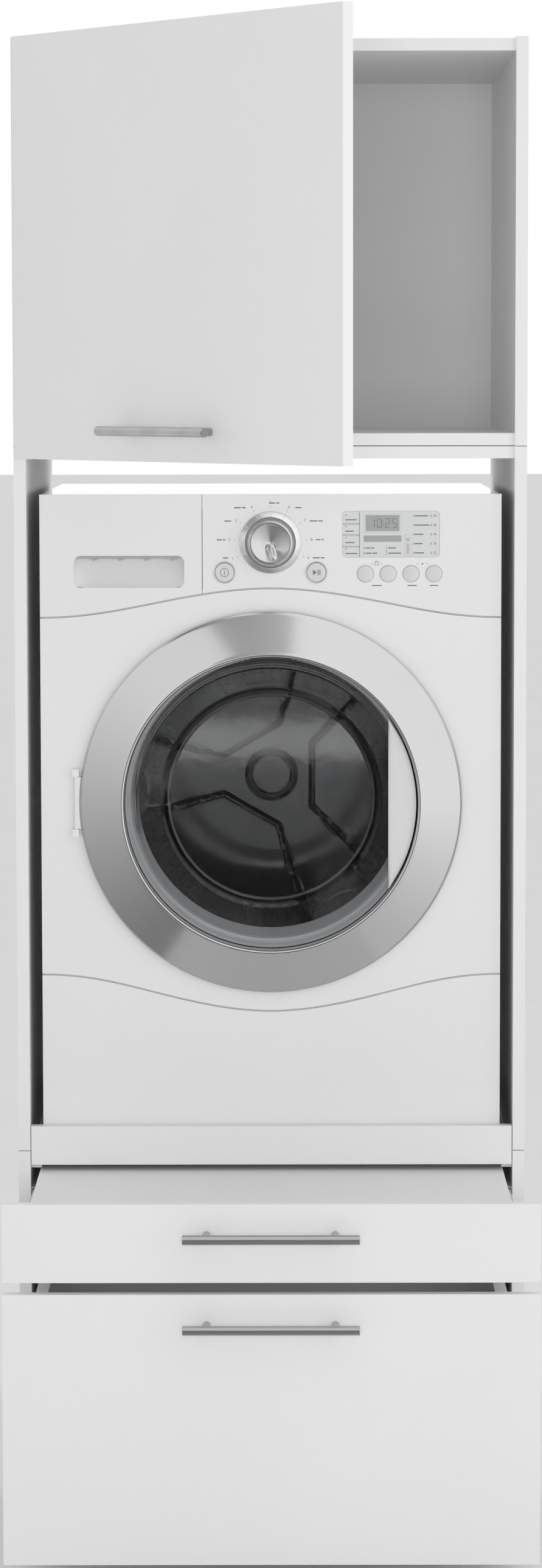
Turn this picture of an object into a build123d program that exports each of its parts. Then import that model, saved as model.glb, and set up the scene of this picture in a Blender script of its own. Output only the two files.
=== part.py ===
from build123d import *
import os
from math import cos, radians, sin

# A tall laundry cabinet made of three stacked units. The lower unit holds a deep drawer and a
# pull-out shelf, the middle unit is an open bay with a front-loading washing machine on a raised
# platform, and the upper unit is a cupboard with one door. The door stands open and the shelf and
# the drawer stand pulled out, which is the rest position. Millimetres, +Z up, -Y towards the user,
# origin on the floor under the middle of the whole thing as it stands.

# Cabinet: driving sizes
width = 675.0
height = 1935.0
depth = 655.0
board = 16.0
back_board = 6.0
edge_setback = 6.0
glide_height = 5.0
glide_radius = 12.0
glide_inset = 40.0
platform_top = 467.0
bay_height = 936.0
seam_gap = 1.0
top_drop = 2.0
retainer_bottom = 448.0
retainer_top = 500.0
retainer_gap = 1.0
batten_width = 14.0
batten_height = 9.5

# Fronts, door and their handles
reveal = 2.0
front_gap = 2.0
door_overhang = 15.0
door_angle = 50.9
drawer_front_bottom = 15.0
drawer_front_height = 343.5
shelf_front_bottom = 372.0
shelf_front_height = 99.0
handle_length = 220.0
handle_spacing = 160.0
handle_radius = 6.0
post_radius = 5.0
handle_reach = 32.0
handle_inset = 38.5
bar_chamfer = 0.6
edge_chamfer = 0.5
hinge_inset = 90.0
cup_radius = 17.5
cup_depth = 11.5
cup_edge = 5.0
cup_wall = 1.2
cup_play = 0.1
cup_lip = 1.5
cup_flange = (64.0, 14.0)
arm_plate = (36.0, 48.0, 2.0)
arm_block = (62.0, 18.0, 12.0)
arm_start = 22.0

# Drawer, shelf and runners
drawer_out = 383.0
shelf_out = 377.0
runner_length = 500.0
runner_gap = 12.5
runner_height = 30.0
runner_sheet = 1.5
runner_play = 1.0
runner_start = 10.0
flange_gap = 2.0
drawer_bottom_z = 40.0
drawer_wall_height = 260.0
drawer_base_board = 8.0
drawer_base_lift = 6.0
drawer_runner_z = 60.0
shelf_clearance = 1.5
cleat_height = 40.0
shelf_runner_drop = 54.0

# Washing machine: driving sizes, heights above the platform
machine_gap = 16.5
machine_depth = 575.0
machine_height = 873.0
foot_height = 20.0
foot_radius = 20.0
foot_pad = 10.0
foot_stem = 5.0
foot_inset = 45.0
sheet = 2.0
panel_sheet = 4.0
groove = 2.4
cover_height = 18.0
cover_chamfer = 2.0
base_height = 8.0
lap = 6.0
drum_rise = 465.0
upper_wave_rise = 710.5
upper_wave_bulge = 38.5
lower_wave_rise = 235.0
lower_wave_bulge = -49.5
drawer_split_x = -90.3
split_gap = 0.8

# Controls
dial_z = 809.5
dial_ring_radius = 41.5
knob_radius = 31.0
knob_play = 1.5
knob_front = 22.0
knob_face_radius = 25.5
knob_stem = 5.95
knob_dish = 4.0
knob_gap = 1.0
stem_reach = 12.0
knob_slot = (39.0, 7.0, 60.0)
knob_edge = 1.5
stem_play = 0.05
main_button_x = 60.7
main_button_z = 770.0
main_button_radius = 12.7
bezel_width = 3.0
bezel_rise = 2.5
dial_ring_rise = 8.0
dial_ring_lip = 2.0
option_button_x = (125.4, 155.5, 185.7, 216.0)
option_button_z = 768.0
option_button_radius = 11.0
button_play = 0.3
button_flange = 1.8
flange_depth = 2.0
button_edge = 0.8
main_button_rise = 2.4
option_button_rise = 3.0
window_x = (95.0, 223.5)
window_z = (789.8, 850.6)
window_corner = 5.0
window_depth = 2.4
window_sink = 0.2

# Detergent drawer
grip_x = (-260.0, -114.0)
grip_z = (750.0, 792.0)
grip_depth = 25.0
grip_corner = 9.0
tray_inset = 14.0
tray_side_gap = 11.0
cell_pitch = 62.0
tray_floor = 764.0
tray_top = 847.0
tray_length = 320.0
tray_wall = 2.0
tray_play = 3.0
tray_drop = 1.5
housing_wall = 2.0

# Porthole door, drum and drive
ring_outer = 254.0
ring_inner = 194.0
ring_height = 34.0
ring_panel_gap = 1.0
bowl_mouth = 178.0
bowl_end = 150.0
bowl_depth = 85.0
bowl_wall = 5.0
grip_chord = 155.0
grip_rise = 20.0
grip_pocket = 16.0
grip_pocket_width = 22.0
grip_pocket_height = 140.0
hinge_offset = 4.5
hinge_pin = 2.5
pin_short = 2.0
hinge_length = 70.0
lug_height = 10.0
lug_gap = 0.5
leaf_start = 6.0
leaf_thickness = 5.0
pin_play = 0.05
porthole_radius = 215.0
mouth_radius = 178.0
drum_radius = 248.0
drum_depth = 338.0
drum_setback = 78.0
drum_wall = 2.0
lip = 2.0
lip_depth = 6.0
tub_play = 16.0
tub_wall = 6.0
weight_gap = 8.0
weight_edge = 4.0
weight_front_gap = 12.0
weight_play = 0.3
top_weight_x = (20.0, 245.0)
top_weight_setback = (80.0, 60.0)
top_weight_rise = 150.0
top_weight_drop = 20.0
shaft_radius = 15.0
bearing_radius = 31.0
bearing_width = 12.0
bearing_boss = 14.0
boss_length = 20.0
stator_gap = 12.0
stator_length = 19.0
rotor_wall = 4.0
rotor_start = 5.0
rotor_radius = 150.0
strut_inset = 62.0
strut_reach = 0.62
strut_radius = 13.0
rod_radius = 6.0
strut_setback = 60.0
lifter_height = 78.0
lifter_crown = 14.0
lifter_gap = 0.2
lifter_count = 3
spider_arm = 26.0
spider_hub = 50.0
spider_depth = 12.0
spider_gap = 20.0
lifter_start = 60.0

# Worked out from the sizes above
inner = width / 2 - board
bay_top = platform_top + bay_height
door_bottom = bay_top - door_overhang
door_top = height - seam_gap
door_height = door_top - door_bottom
front_width = width - 2 * reveal
shelf_surface = platform_top - board - batten_height - shelf_clearance
machine_setback = board + retainer_gap
door_reach = front_gap + board + front_width * sin(radians(door_angle))
front_y = (door_reach - depth) / 2
machine_half = inner - machine_gap
machine_top = platform_top + machine_height
casing_bottom = platform_top + foot_height
drum_z = platform_top + drum_rise
panel_back = machine_setback + panel_sheet
wall_back = panel_back + sheet
machine_back = machine_setback + machine_depth
tub_radius = drum_radius + tub_play + tub_wall
drum_front = machine_setback + drum_setback
drum_back = drum_front + drum_depth
tub_front = drum_front - tub_play
tub_back = drum_back + tub_play + 2 * tub_wall

hinge_corner = (-front_width / 2, front_y - front_gap - board, 0)
door_plane = Plane(
    origin=hinge_corner,
    x_dir=(cos(radians(door_angle)), -sin(radians(door_angle)), 0),
    z_dir=(0, 0, 1),
)
drum_plane = Plane(origin=(0, front_y, drum_z), x_dir=(0, 1, 0), z_dir=(1, 0, 0))
drum_axis = Axis((0, front_y, drum_z), (0, 1, 0))
pin_x = -ring_outer - hinge_offset
pin_y = machine_setback - hinge_offset

os.makedirs("parts", exist_ok=True)


def write(part, name):
    """Labels a finished piece and writes it to its own file."""
    part.label = name
    export_step(part, f"parts/{name}.step")


def slab(x, y, z):
    """Adds a block between two limits in x, in y from the cabinet's front edge, and in z."""
    with Locations((x[0], front_y + y[0], z[0])):
        Box(x[1] - x[0], y[1] - y[0], z[1] - z[0], align=(Align.MIN, Align.MIN, Align.MIN))


def slab_pair(x, y, z):
    """Adds a block on the right and its mirror image on the left."""
    slab(x, y, z)
    slab((-x[1], -x[0]), y, z)


def upright(y):
    """The vertical plane at a distance behind the cabinet's front edge, facing the user."""
    return Plane.XZ.offset(-(front_y + y))


def revolve_about_drum(points):
    """Turns a closed outline of (distance behind the front edge, radius) about the drum's axis."""
    with BuildSketch(drum_plane) as profile:
        with BuildLine():
            Polyline(*points, close=True)
        make_face()
    revolve(profile.sketch, axis=drum_axis)


def about_drum(radius, turn):
    """The (x, z) of a point at a radius from the drum's axis, at an angle up from +X."""
    return (radius * cos(radians(turn)), drum_z + radius * sin(radians(turn)))


def wave(rise, bulge):
    """The shallow wave across the machine: level at both sides, one bulge in the middle."""
    z = platform_top + rise
    x = machine_half
    points = [(-x, z), (-x / 2, z + bulge / 2), (0, z + bulge), (x / 2, z + bulge / 2), (x, z)]
    Spline(*points, tangents=[(1, 0), (1, 0)])


def band(low, high):
    """The face between two waves, or between a wave and a level line given as one number."""
    ends = []
    with BuildLine() as outline:
        for edge in (low, high):
            if isinstance(edge, tuple):
                wave(*edge)
                ends.append(platform_top + edge[0])
            else:
                Line((-machine_half, edge), (machine_half, edge))
                ends.append(edge)
        Line((-machine_half, ends[0]), (-machine_half, ends[1]))
        Line((machine_half, ends[0]), (machine_half, ends[1]))
    make_face(outline.edges())


def bar_handle(plane, x, z):
    """A round bar on two posts, in front of a face whose local Y points into the board."""
    half = handle_length / 2
    bar_start = plane.from_local_coords(Vector(x - half, -handle_reach, z))
    bar_plane = Plane(origin=bar_start, x_dir=(0, 0, 1), z_dir=plane.x_dir)
    with BuildSketch(bar_plane) as bar_end:
        Circle(handle_radius)
    extrude(bar_end.sketch, amount=handle_length)
    chamfer(edges().filter_by(GeomType.CIRCLE), length=bar_chamfer)
    for side in (-1, 1):
        foot = plane.from_local_coords(Vector(x + side * handle_spacing / 2, 0, z))
        with BuildSketch(Plane(origin=foot, x_dir=(0, 0, 1), z_dir=-plane.y_dir)) as post_end:
            Circle(post_radius)
        extrude(post_end.sketch, amount=handle_reach)


# Lower unit ------------------------------------------------------------------

with BuildPart() as base_sides:
    slab_pair((inner, width / 2), (0, depth), (glide_height, platform_top))
write(base_sides.part, "base_sides")

with BuildPart() as base_bottom:
    slab((-inner, inner), (edge_setback, depth), (glide_height, glide_height + board))
write(base_bottom.part, "base_bottom")

with BuildPart() as base_back:
    slab((-inner, inner), (depth - back_board, depth), (glide_height + board, platform_top - board))
write(base_back.part, "base_back")

with BuildPart() as platform:
    slab((-inner, inner), (board + seam_gap, depth), (platform_top - board, platform_top))
write(platform.part, "platform")

batten_top = platform_top - board
with BuildPart() as platform_battens:
    slab_pair((inner - batten_width, inner), (board + seam_gap, depth - back_board),
              (batten_top - batten_height, batten_top))
write(platform_battens.part, "platform_battens")

with BuildPart() as retaining_board:
    slab((-inner + retainer_gap, inner - retainer_gap), (0, board), (retainer_bottom, retainer_top))
    chamfer(edges().filter_by(Axis.X), length=edge_chamfer)
write(retaining_board.part, "retaining_board")

with BuildPart() as floor_glides:
    glide_x = width / 2 - glide_radius - seam_gap
    glide_spots = [(x, front_y + y) for x in (-glide_x, glide_x) for y in (glide_inset, depth - glide_inset)]
    with Locations(*[(x, y, 0) for x, y in glide_spots]):
        Cylinder(glide_radius, glide_height, align=(Align.CENTER, Align.CENTER, Align.MIN))
write(floor_glides.part, "floor_glides")

# Machine bay -----------------------------------------------------------------

with BuildPart() as bay_sides:
    slab_pair((inner, width / 2), (0, depth), (platform_top, bay_top))
write(bay_sides.part, "bay_sides")

with BuildPart() as bay_ceiling:
    slab((-inner, inner), (edge_setback, depth), (bay_top - board, bay_top))
write(bay_ceiling.part, "bay_ceiling")

# Upper cupboard --------------------------------------------------------------

cupboard_floor = bay_top + seam_gap + board
cupboard_ceiling = height - top_drop - board

with BuildPart() as cupboard_sides:
    slab_pair((inner, width / 2), (0, depth), (bay_top, height))
write(cupboard_sides.part, "cupboard_sides")

with BuildPart() as cupboard_bottom:
    slab((-inner, inner), (edge_setback, depth), (cupboard_floor - board, cupboard_floor))
write(cupboard_bottom.part, "cupboard_bottom")

with BuildPart() as cupboard_top:
    slab((-inner, inner), (edge_setback, depth), (cupboard_ceiling, cupboard_ceiling + board))
write(cupboard_top.part, "cupboard_top")

with BuildPart() as cupboard_back:
    slab((-inner, inner), (depth - back_board, depth), (cupboard_floor, cupboard_ceiling))
write(cupboard_back.part, "cupboard_back")

# Cupboard door, hinged on its left edge --------------------------------------

hinge_heights = (door_bottom + hinge_inset, door_top - hinge_inset)
cup_x = cup_edge + cup_radius

with BuildPart() as cupboard_door:
    with BuildSketch(door_plane.offset(door_bottom)):
        Rectangle(front_width, board, align=(Align.MIN, Align.MIN))
    extrude(amount=door_height)
    chamfer(edges().filter_by(Axis.Z), length=edge_chamfer)
    for z in hinge_heights:
        face_point = door_plane.from_local_coords(Vector(cup_x, board, z))
        with BuildSketch(Plane(origin=face_point, x_dir=(0, 0, 1), z_dir=door_plane.y_dir)):
            Circle(cup_radius)
        extrude(amount=-cup_depth, mode=Mode.SUBTRACT)
write(cupboard_door.part, "cupboard_door")

with BuildPart() as door_handle:
    bar_handle(door_plane, front_width / 2, door_bottom + handle_inset)
write(door_handle.part, "door_handle")

with BuildPart() as hinge_cups:
    for z in hinge_heights:
        face_point = door_plane.from_local_coords(Vector(cup_x, board, z))
        cup_plane = Plane(origin=face_point, x_dir=(0, 0, 1), z_dir=door_plane.y_dir)
        with BuildSketch(cup_plane):
            SlotOverall(*cup_flange)
            Circle(cup_radius + cup_lip)
        extrude(amount=cup_wall)
        with BuildSketch(cup_plane):
            Circle(cup_radius - cup_play)
        extrude(amount=-cup_depth)
        with BuildSketch(cup_plane.offset(cup_wall)):
            Circle(cup_radius - cup_play - cup_wall)
        extrude(amount=-cup_depth, mode=Mode.SUBTRACT)
write(hinge_cups.part, "hinge_cups")

with BuildPart() as hinge_arms:
    for z in hinge_heights:
        length, rise, thickness = arm_plate
        slab((-inner, -inner + thickness), (arm_start + 2, arm_start + 2 + length),
             (z - rise / 2, z + rise / 2))
        x = -inner + thickness
        length, rise, thickness = arm_block
        slab((x, x + thickness), (arm_start, arm_start + length), (z - rise / 2, z + rise / 2))
write(hinge_arms.part, "hinge_arms")

# Pull-out shelf --------------------------------------------------------------

box_half = inner - runner_gap
shelf_y = -front_gap - shelf_out
shelf_board = (shelf_surface - board, shelf_surface)

with BuildPart() as shelf_front:
    slab((-front_width / 2, front_width / 2), (shelf_y - board, shelf_y),
         (shelf_front_bottom, shelf_front_bottom + shelf_front_height))
    chamfer(edges(), length=edge_chamfer)
write(shelf_front.part, "shelf_front")

with BuildPart() as shelf_tray:
    slab((-box_half, box_half), (shelf_y, shelf_y + runner_length), shelf_board)
    slab_pair((box_half - board, box_half), (shelf_y, shelf_y + runner_length),
              (shelf_board[0] - cleat_height, shelf_board[0]))
write(shelf_tray.part, "shelf_tray")

with BuildPart() as shelf_handle:
    bar_handle(Plane((0, front_y + shelf_y - board, 0)), 0,
               shelf_front_bottom + shelf_front_height - handle_inset)
write(shelf_handle.part, "shelf_handle")

# Bottom drawer ---------------------------------------------------------------

drawer_y = -front_gap - drawer_out
drawer_back = drawer_y + runner_length + board
drawer_wall_top = drawer_bottom_z + drawer_wall_height

with BuildPart() as drawer_front:
    slab((-front_width / 2, front_width / 2), (drawer_y - board, drawer_y),
         (drawer_front_bottom, drawer_front_bottom + drawer_front_height))
    chamfer(edges(), length=edge_chamfer)
write(drawer_front.part, "drawer_front")

with BuildPart() as drawer_walls:
    slab_pair((box_half - board, box_half), (drawer_y, drawer_back),
              (drawer_bottom_z, drawer_wall_top))
    slab((-box_half + board, box_half - board), (drawer_back - board, drawer_back),
         (drawer_bottom_z, drawer_wall_top))
write(drawer_walls.part, "drawer_walls")

drawer_floor = drawer_bottom_z + drawer_base_lift + drawer_base_board
with BuildPart() as drawer_bottom:
    slab((-box_half + board, box_half - board), (drawer_y, drawer_back - board),
         (drawer_floor - drawer_base_board, drawer_floor))
write(drawer_bottom.part, "drawer_bottom")

with BuildPart() as drawer_handle:
    bar_handle(Plane((0, front_y + drawer_y - board, 0)), 0,
               drawer_front_bottom + drawer_front_height - handle_inset)
write(drawer_handle.part, "drawer_handle")

# Runners ---------------------------------------------------------------------

shelf_runner_z = shelf_surface - shelf_runner_drop


def cabinet_channel(z):
    """A C-shaped channel on each side wall, open towards the drawer."""
    y = (runner_start, runner_start + runner_length)
    slab_pair((inner - runner_sheet, inner), y, (z, z + runner_height))
    for flange in (z, z + runner_height - runner_sheet):
        slab_pair((box_half + flange_gap, inner - runner_sheet), y, (flange, flange + runner_sheet))


def sliding_member(z, out):
    """The bar on each side of a drawer that runs inside the channel."""
    y = (runner_start - out, runner_start - out + runner_length)
    edge = runner_sheet + runner_play
    slab_pair((box_half, inner - edge), y, (z + edge, z + runner_height - edge))


with BuildPart() as cabinet_rails:
    cabinet_channel(drawer_runner_z)
    cabinet_channel(shelf_runner_z)
write(cabinet_rails.part, "cabinet_rails")

with BuildPart() as shelf_rails:
    sliding_member(shelf_runner_z, shelf_out)
write(shelf_rails.part, "shelf_rails")

with BuildPart() as drawer_rails:
    sliding_member(drawer_runner_z, drawer_out)
write(drawer_rails.part, "drawer_rails")

# Washing machine casing ------------------------------------------------------

casing_top = machine_top - cover_height
casing_y = (panel_back, machine_back)

with BuildPart() as machine_sides:
    slab_pair((machine_half - sheet, machine_half), casing_y, (casing_bottom, casing_top))
write(machine_sides.part, "machine_sides")

with BuildPart() as machine_back_panel:
    slab((-machine_half + sheet, machine_half - sheet), (machine_back - sheet, machine_back),
         (casing_bottom, casing_top))
write(machine_back_panel.part, "machine_back_panel")

with BuildPart() as machine_base:
    slab((-machine_half + sheet, machine_half - sheet), (wall_back, machine_back - sheet),
         (casing_bottom, casing_bottom + base_height))
write(machine_base.part, "machine_base")

with BuildPart() as machine_cover:
    slab((-machine_half, machine_half), casing_y, (casing_top, machine_top))
    chamfer(edges().group_by(Axis.Z)[-1], length=cover_chamfer)
write(machine_cover.part, "machine_cover")

foot_x = machine_half - foot_inset
with BuildPart() as machine_feet:
    spots = [(x, front_y + y) for x in (-foot_x, foot_x)
             for y in (wall_back + foot_inset, machine_back - foot_inset)]
    with Locations(*[(x, y, platform_top) for x, y in spots]):
        Cylinder(foot_radius, foot_pad, align=(Align.CENTER, Align.CENTER, Align.MIN))
        Cylinder(foot_stem, foot_height, align=(Align.CENTER, Align.CENTER, Align.MIN))
write(machine_feet.part, "machine_feet")

half_groove = groove / 2
with BuildPart() as machine_front:
    with BuildSketch(upright(panel_back)):
        band((lower_wave_rise + half_groove, lower_wave_bulge),
             (upper_wave_rise - half_groove, upper_wave_bulge))
    extrude(amount=panel_sheet)
    with BuildSketch(upright(wall_back)):
        band(casing_bottom, (upper_wave_rise + lap, upper_wave_bulge))
        Rectangle(2 * (machine_half - sheet), 2 * machine_top, mode=Mode.INTERSECT)
    extrude(amount=sheet)
    with BuildSketch(upright(wall_back)):
        with Locations((0, drum_z)):
            Circle(porthole_radius)
    extrude(amount=panel_sheet + sheet, mode=Mode.SUBTRACT)
    for low in (drum_z - hinge_length / 2 - lug_height, drum_z + hinge_length / 2):
        slab((pin_x - 2 * hinge_pin, -ring_outer - lug_gap), (pin_y - 2 * hinge_pin, machine_setback),
             (low, low + lug_height))
    with Locations((pin_x, front_y + pin_y, drum_z)):
        Cylinder(hinge_pin + pin_play, hinge_length + 2 * lug_height, mode=Mode.SUBTRACT)
write(machine_front.part, "machine_front")

with BuildPart() as kick_panel:
    with BuildSketch(upright(panel_back)):
        band(casing_bottom, (lower_wave_rise - half_groove, lower_wave_bulge))
    extrude(amount=panel_sheet)
write(kick_panel.part, "kick_panel")

# Control fascia --------------------------------------------------------------

fascia_band = ((upper_wave_rise + half_groove, upper_wave_bulge), machine_top)
main_buttons = [(side * main_button_x, platform_top + main_button_z) for side in (-1, 1)]
option_buttons = [(x, platform_top + option_button_z) for x in option_button_x]
dial_centre = (0, platform_top + dial_z)
window_size = (window_x[1] - window_x[0], window_z[1] - window_z[0])
window_centre = (sum(window_x) / 2, platform_top + sum(window_z) / 2)

with BuildPart() as control_fascia:
    with BuildSketch(upright(panel_back)):
        band(*fascia_band)
        with Locations((drawer_split_x + split_gap / 2, 0)):
            Rectangle(2 * machine_half, 2 * machine_top, align=(Align.MIN, Align.CENTER),
                      mode=Mode.INTERSECT)
        with Locations(dial_centre):
            Circle(knob_stem + stem_play, mode=Mode.SUBTRACT)
        with Locations(*main_buttons):
            Circle(main_button_radius + button_play, mode=Mode.SUBTRACT)
        with Locations(*option_buttons):
            Circle(option_button_radius + button_play, mode=Mode.SUBTRACT)
    extrude(amount=panel_sheet)
    with BuildSketch(upright(machine_setback)):
        with Locations(window_centre):
            RectangleRounded(*window_size, window_corner)
    extrude(amount=-window_depth, mode=Mode.SUBTRACT)
write(control_fascia.part, "control_fascia")

with BuildPart() as display_window:
    with BuildSketch(upright(machine_setback + window_depth)):
        with Locations(window_centre):
            RectangleRounded(window_size[0] - 2 * button_play, window_size[1] - 2 * button_play,
                             window_corner - button_play)
    extrude(amount=window_depth - window_sink)
write(display_window.part, "display_window")


def turned(points, centre):
    """Turns an outline of (distance behind the front edge, radius) about an axis at (x, z)."""
    origin = (centre[0], front_y, centre[1])
    with BuildSketch(Plane(origin=origin, x_dir=(0, 1, 0), z_dir=(1, 0, 0))) as profile:
        with BuildLine():
            Polyline(*points, close=True)
        make_face()
    revolve(profile.sketch, axis=Axis(origin, (0, 1, 0)))


with BuildPart() as control_bezels:
    face = machine_setback
    ring_bore = knob_radius + knob_play
    turned([(face, ring_bore), (face - dial_ring_rise, ring_bore),
            (face - dial_ring_rise, ring_bore + dial_ring_lip),
            (face - dial_ring_lip, dial_ring_radius), (face, dial_ring_radius)], dial_centre)
    for centre in main_buttons:
        bore = main_button_radius + button_play
        turned([(face, bore), (face + 1 - bezel_rise, bore), (face - bezel_rise, bore + bezel_width / 2),
                (face, bore + bezel_width)], centre)
write(control_bezels.part, "control_bezels")

with BuildPart() as program_knob:
    knob_tip = machine_setback - knob_front
    knob_base = machine_setback - knob_gap
    knob_floor = knob_tip + knob_dish
    turned([(knob_base, 0), (knob_base, knob_radius), (knob_floor, knob_radius - knob_edge),
            (knob_tip, knob_face_radius + knob_edge), (knob_tip, knob_face_radius),
            (knob_floor - 1, knob_face_radius - 2 * knob_edge), (knob_floor, 0)], dial_centre)
    turned([(knob_base, 0), (knob_base, knob_stem), (panel_back + stem_reach, knob_stem),
            (panel_back + stem_reach, 0)], dial_centre)
    with BuildSketch(upright(knob_floor)):
        with Locations(dial_centre):
            SlotOverall(knob_slot[0], knob_slot[1], rotation=knob_slot[2])
    extrude(amount=knob_dish)
write(program_knob.part, "program_knob")


def push_button(centre, radius, rise):
    """A round cap with a flange behind the fascia that keeps it in."""
    cap = machine_setback - rise
    flange = panel_back + button_play
    turned([(cap, 0), (cap, radius - button_edge), (cap + button_edge, radius), (flange, radius),
            (flange, radius + button_flange), (flange + flange_depth, radius + button_flange),
            (flange + flange_depth, 0)], centre)


with BuildPart() as power_button:
    push_button(main_buttons[0], main_button_radius, main_button_rise)
write(power_button.part, "power_button")

with BuildPart() as start_button:
    push_button(main_buttons[1], main_button_radius, main_button_rise)
write(start_button.part, "start_button")

for number, centre in enumerate(option_buttons, 1):
    with BuildPart() as option_button:
        push_button(centre, option_button_radius, option_button_rise)
    write(option_button.part, f"option_button_{number}")

# Detergent drawer and its housing --------------------------------------------

split = drawer_split_x - split_gap / 2
tray_x = (-machine_half + tray_inset, split - tray_side_gap)
tray_z = (platform_top + tray_floor, platform_top + tray_top)
grip_low, grip_high = (platform_top + z for z in grip_z)
grip_back = machine_setback + grip_depth
tray_back = panel_back + tray_length

with BuildPart() as detergent_drawer:
    with BuildSketch(upright(panel_back)):
        band(*fascia_band)
        with Locations((split, 0)):
            Rectangle(2 * machine_half, 2 * machine_top, align=(Align.MAX, Align.CENTER),
                      mode=Mode.INTERSECT)
    extrude(amount=panel_sheet)
    slab((grip_x[0] - tray_wall, grip_x[1] + tray_wall), (panel_back, grip_back + tray_wall),
         (grip_low - tray_wall, grip_high + tray_wall))
    slab(tray_x, (panel_back, tray_back), tray_z)
    with BuildSketch(upright(machine_setback)):
        with Locations((sum(grip_x) / 2, (grip_low + grip_high) / 2)):
            RectangleRounded(grip_x[1] - grip_x[0], grip_high - grip_low, grip_corner)
    extrude(amount=-grip_depth, mode=Mode.SUBTRACT)
    cell_start = grip_back + 2 * tray_wall
    cell_floor = tray_z[0] + tray_wall
    cells_x = (tray_x[0] + tray_wall, tray_x[0] + cell_pitch, tray_x[0] + 2 * cell_pitch,
               tray_x[1] - tray_wall)
    for left, right in zip(cells_x, cells_x[1:]):
        with Locations((left, front_y + cell_start, cell_floor)):
            Box(right - left - tray_wall, tray_back - tray_wall - cell_start, tray_top,
                align=(Align.MIN, Align.MIN, Align.MIN), mode=Mode.SUBTRACT)
write(detergent_drawer.part, "detergent_drawer")

with BuildPart() as detergent_housing:
    outer = tray_play + housing_wall
    room_x = (tray_x[0] - tray_play, tray_x[1] + tray_play)
    room_z = (tray_z[0] - tray_drop, tray_z[1] + tray_play)
    start = grip_back + 2 * tray_wall
    end = tray_back + tray_play
    slab((tray_x[0] - outer, tray_x[1] + outer), (start, end + housing_wall),
         (room_z[0] - housing_wall, room_z[1] + housing_wall))
    with Locations((room_x[0], front_y + start, room_z[0])):
        Box(room_x[1] - room_x[0], end - start, room_z[1] - room_z[0],
            align=(Align.MIN, Align.MIN, Align.MIN), mode=Mode.SUBTRACT)
write(detergent_housing.part, "detergent_housing")

# Porthole door, closed -------------------------------------------------------

ring_back = machine_setback - ring_panel_gap
ring_front = ring_back - ring_height
glass_y = ring_back - 6

with BuildPart() as porthole_ring:
    revolve_about_drum([
        (ring_back, ring_outer), (ring_back - 7, ring_outer), (ring_back - 11, ring_outer - 3),
        (ring_front + 3, ring_inner + 7), (ring_front, ring_inner + 4),
        (ring_front + 1, ring_inner), (glass_y, ring_inner), (glass_y, ring_inner + 2),
        (ring_back, ring_inner + 6)])
write(porthole_ring.part, "porthole_ring")

bowl_back = glass_y + bowl_depth
seat = ring_inner + 1.8
with BuildPart() as porthole_glass:
    revolve_about_drum([
        (glass_y, seat), (glass_y, bowl_mouth), (bowl_back - 8, bowl_end - 6),
        (bowl_back - bowl_wall, bowl_end - 24), (bowl_back + 3 - bowl_wall, 0), (bowl_back + 3, 0),
        (bowl_back, bowl_end - 24), (bowl_back - 4, bowl_end - 2), (bowl_back - 10, bowl_end),
        (glass_y + bowl_wall, bowl_mouth + bowl_wall), (glass_y + bowl_wall, seat)])
write(porthole_glass.part, "porthole_glass")

grip_front = glass_y - grip_rise
grip_radius = ring_inner - 1.5
with BuildPart() as porthole_grip:
    with BuildSketch(upright(glass_y)):
        with Locations((0, drum_z)):
            Circle(grip_radius)
            with Locations((grip_chord, 0)):
                Rectangle(grip_radius, 2 * grip_radius, align=(Align.MIN, Align.CENTER),
                          mode=Mode.INTERSECT)
    extrude(amount=grip_rise)
    with Locations((grip_chord, front_y + glass_y - grip_pocket, drum_z)):
        Box(grip_pocket_width, grip_pocket, grip_pocket_height,
            align=(Align.MIN, Align.MIN, Align.CENTER), mode=Mode.SUBTRACT)
write(porthole_grip.part, "porthole_grip")

with BuildPart() as porthole_hinge:
    slab((pin_x, -ring_inner), (ring_back - leaf_start, ring_back - leaf_start + leaf_thickness),
         (drum_z - hinge_length / 2 + lug_gap, drum_z + hinge_length / 2 - lug_gap))
    with BuildSketch(upright(ring_back)):
        with Locations((0, drum_z)):
            Circle(ring_outer)
    extrude(amount=ring_height, mode=Mode.SUBTRACT)
    with Locations((pin_x, front_y + pin_y, drum_z)):
        Cylinder(hinge_pin, hinge_length + 2 * lug_height - pin_short)
write(porthole_hinge.part, "porthole_hinge")

# Gasket, tub and what hangs on it --------------------------------------------

with BuildPart() as door_gasket:
    revolve_about_drum([
        (wall_back, porthole_radius + 6), (wall_back, porthole_radius - 9),
        (tub_front - 21, mouth_radius), (tub_front - 14, mouth_radius),
        (tub_front, mouth_radius + 8), (tub_front, mouth_radius + 18),
        (tub_front - 22, mouth_radius + 10), (wall_back + 7, porthole_radius - 2),
        (wall_back + 7, porthole_radius + 6)])
write(door_gasket.part, "door_gasket")

boss_radius = bearing_radius + bearing_boss
boss_end = tub_back + boss_length
with BuildPart() as tub:
    revolve_about_drum([
        (tub_front, mouth_radius + 8), (tub_front, tub_radius), (tub_back, tub_radius),
        (tub_back, boss_radius), (boss_end, boss_radius), (boss_end, bearing_radius),
        (tub_back - tub_wall - 2, bearing_radius), (tub_back - tub_wall - 2, tub_radius - tub_wall),
        (tub_front + tub_wall, tub_radius - tub_wall), (tub_front + tub_wall, mouth_radius + 8)])
write(tub.part, "tub")

with BuildPart() as drum_bearings:
    for start in (tub_back - tub_wall - 1, boss_end - bearing_width - 1):
        revolve_about_drum([
            (start, shaft_radius + pin_play), (start, bearing_radius),
            (start + bearing_width, bearing_radius),
            (start + bearing_width, shaft_radius + pin_play)])
write(drum_bearings.part, "drum_bearings")

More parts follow.
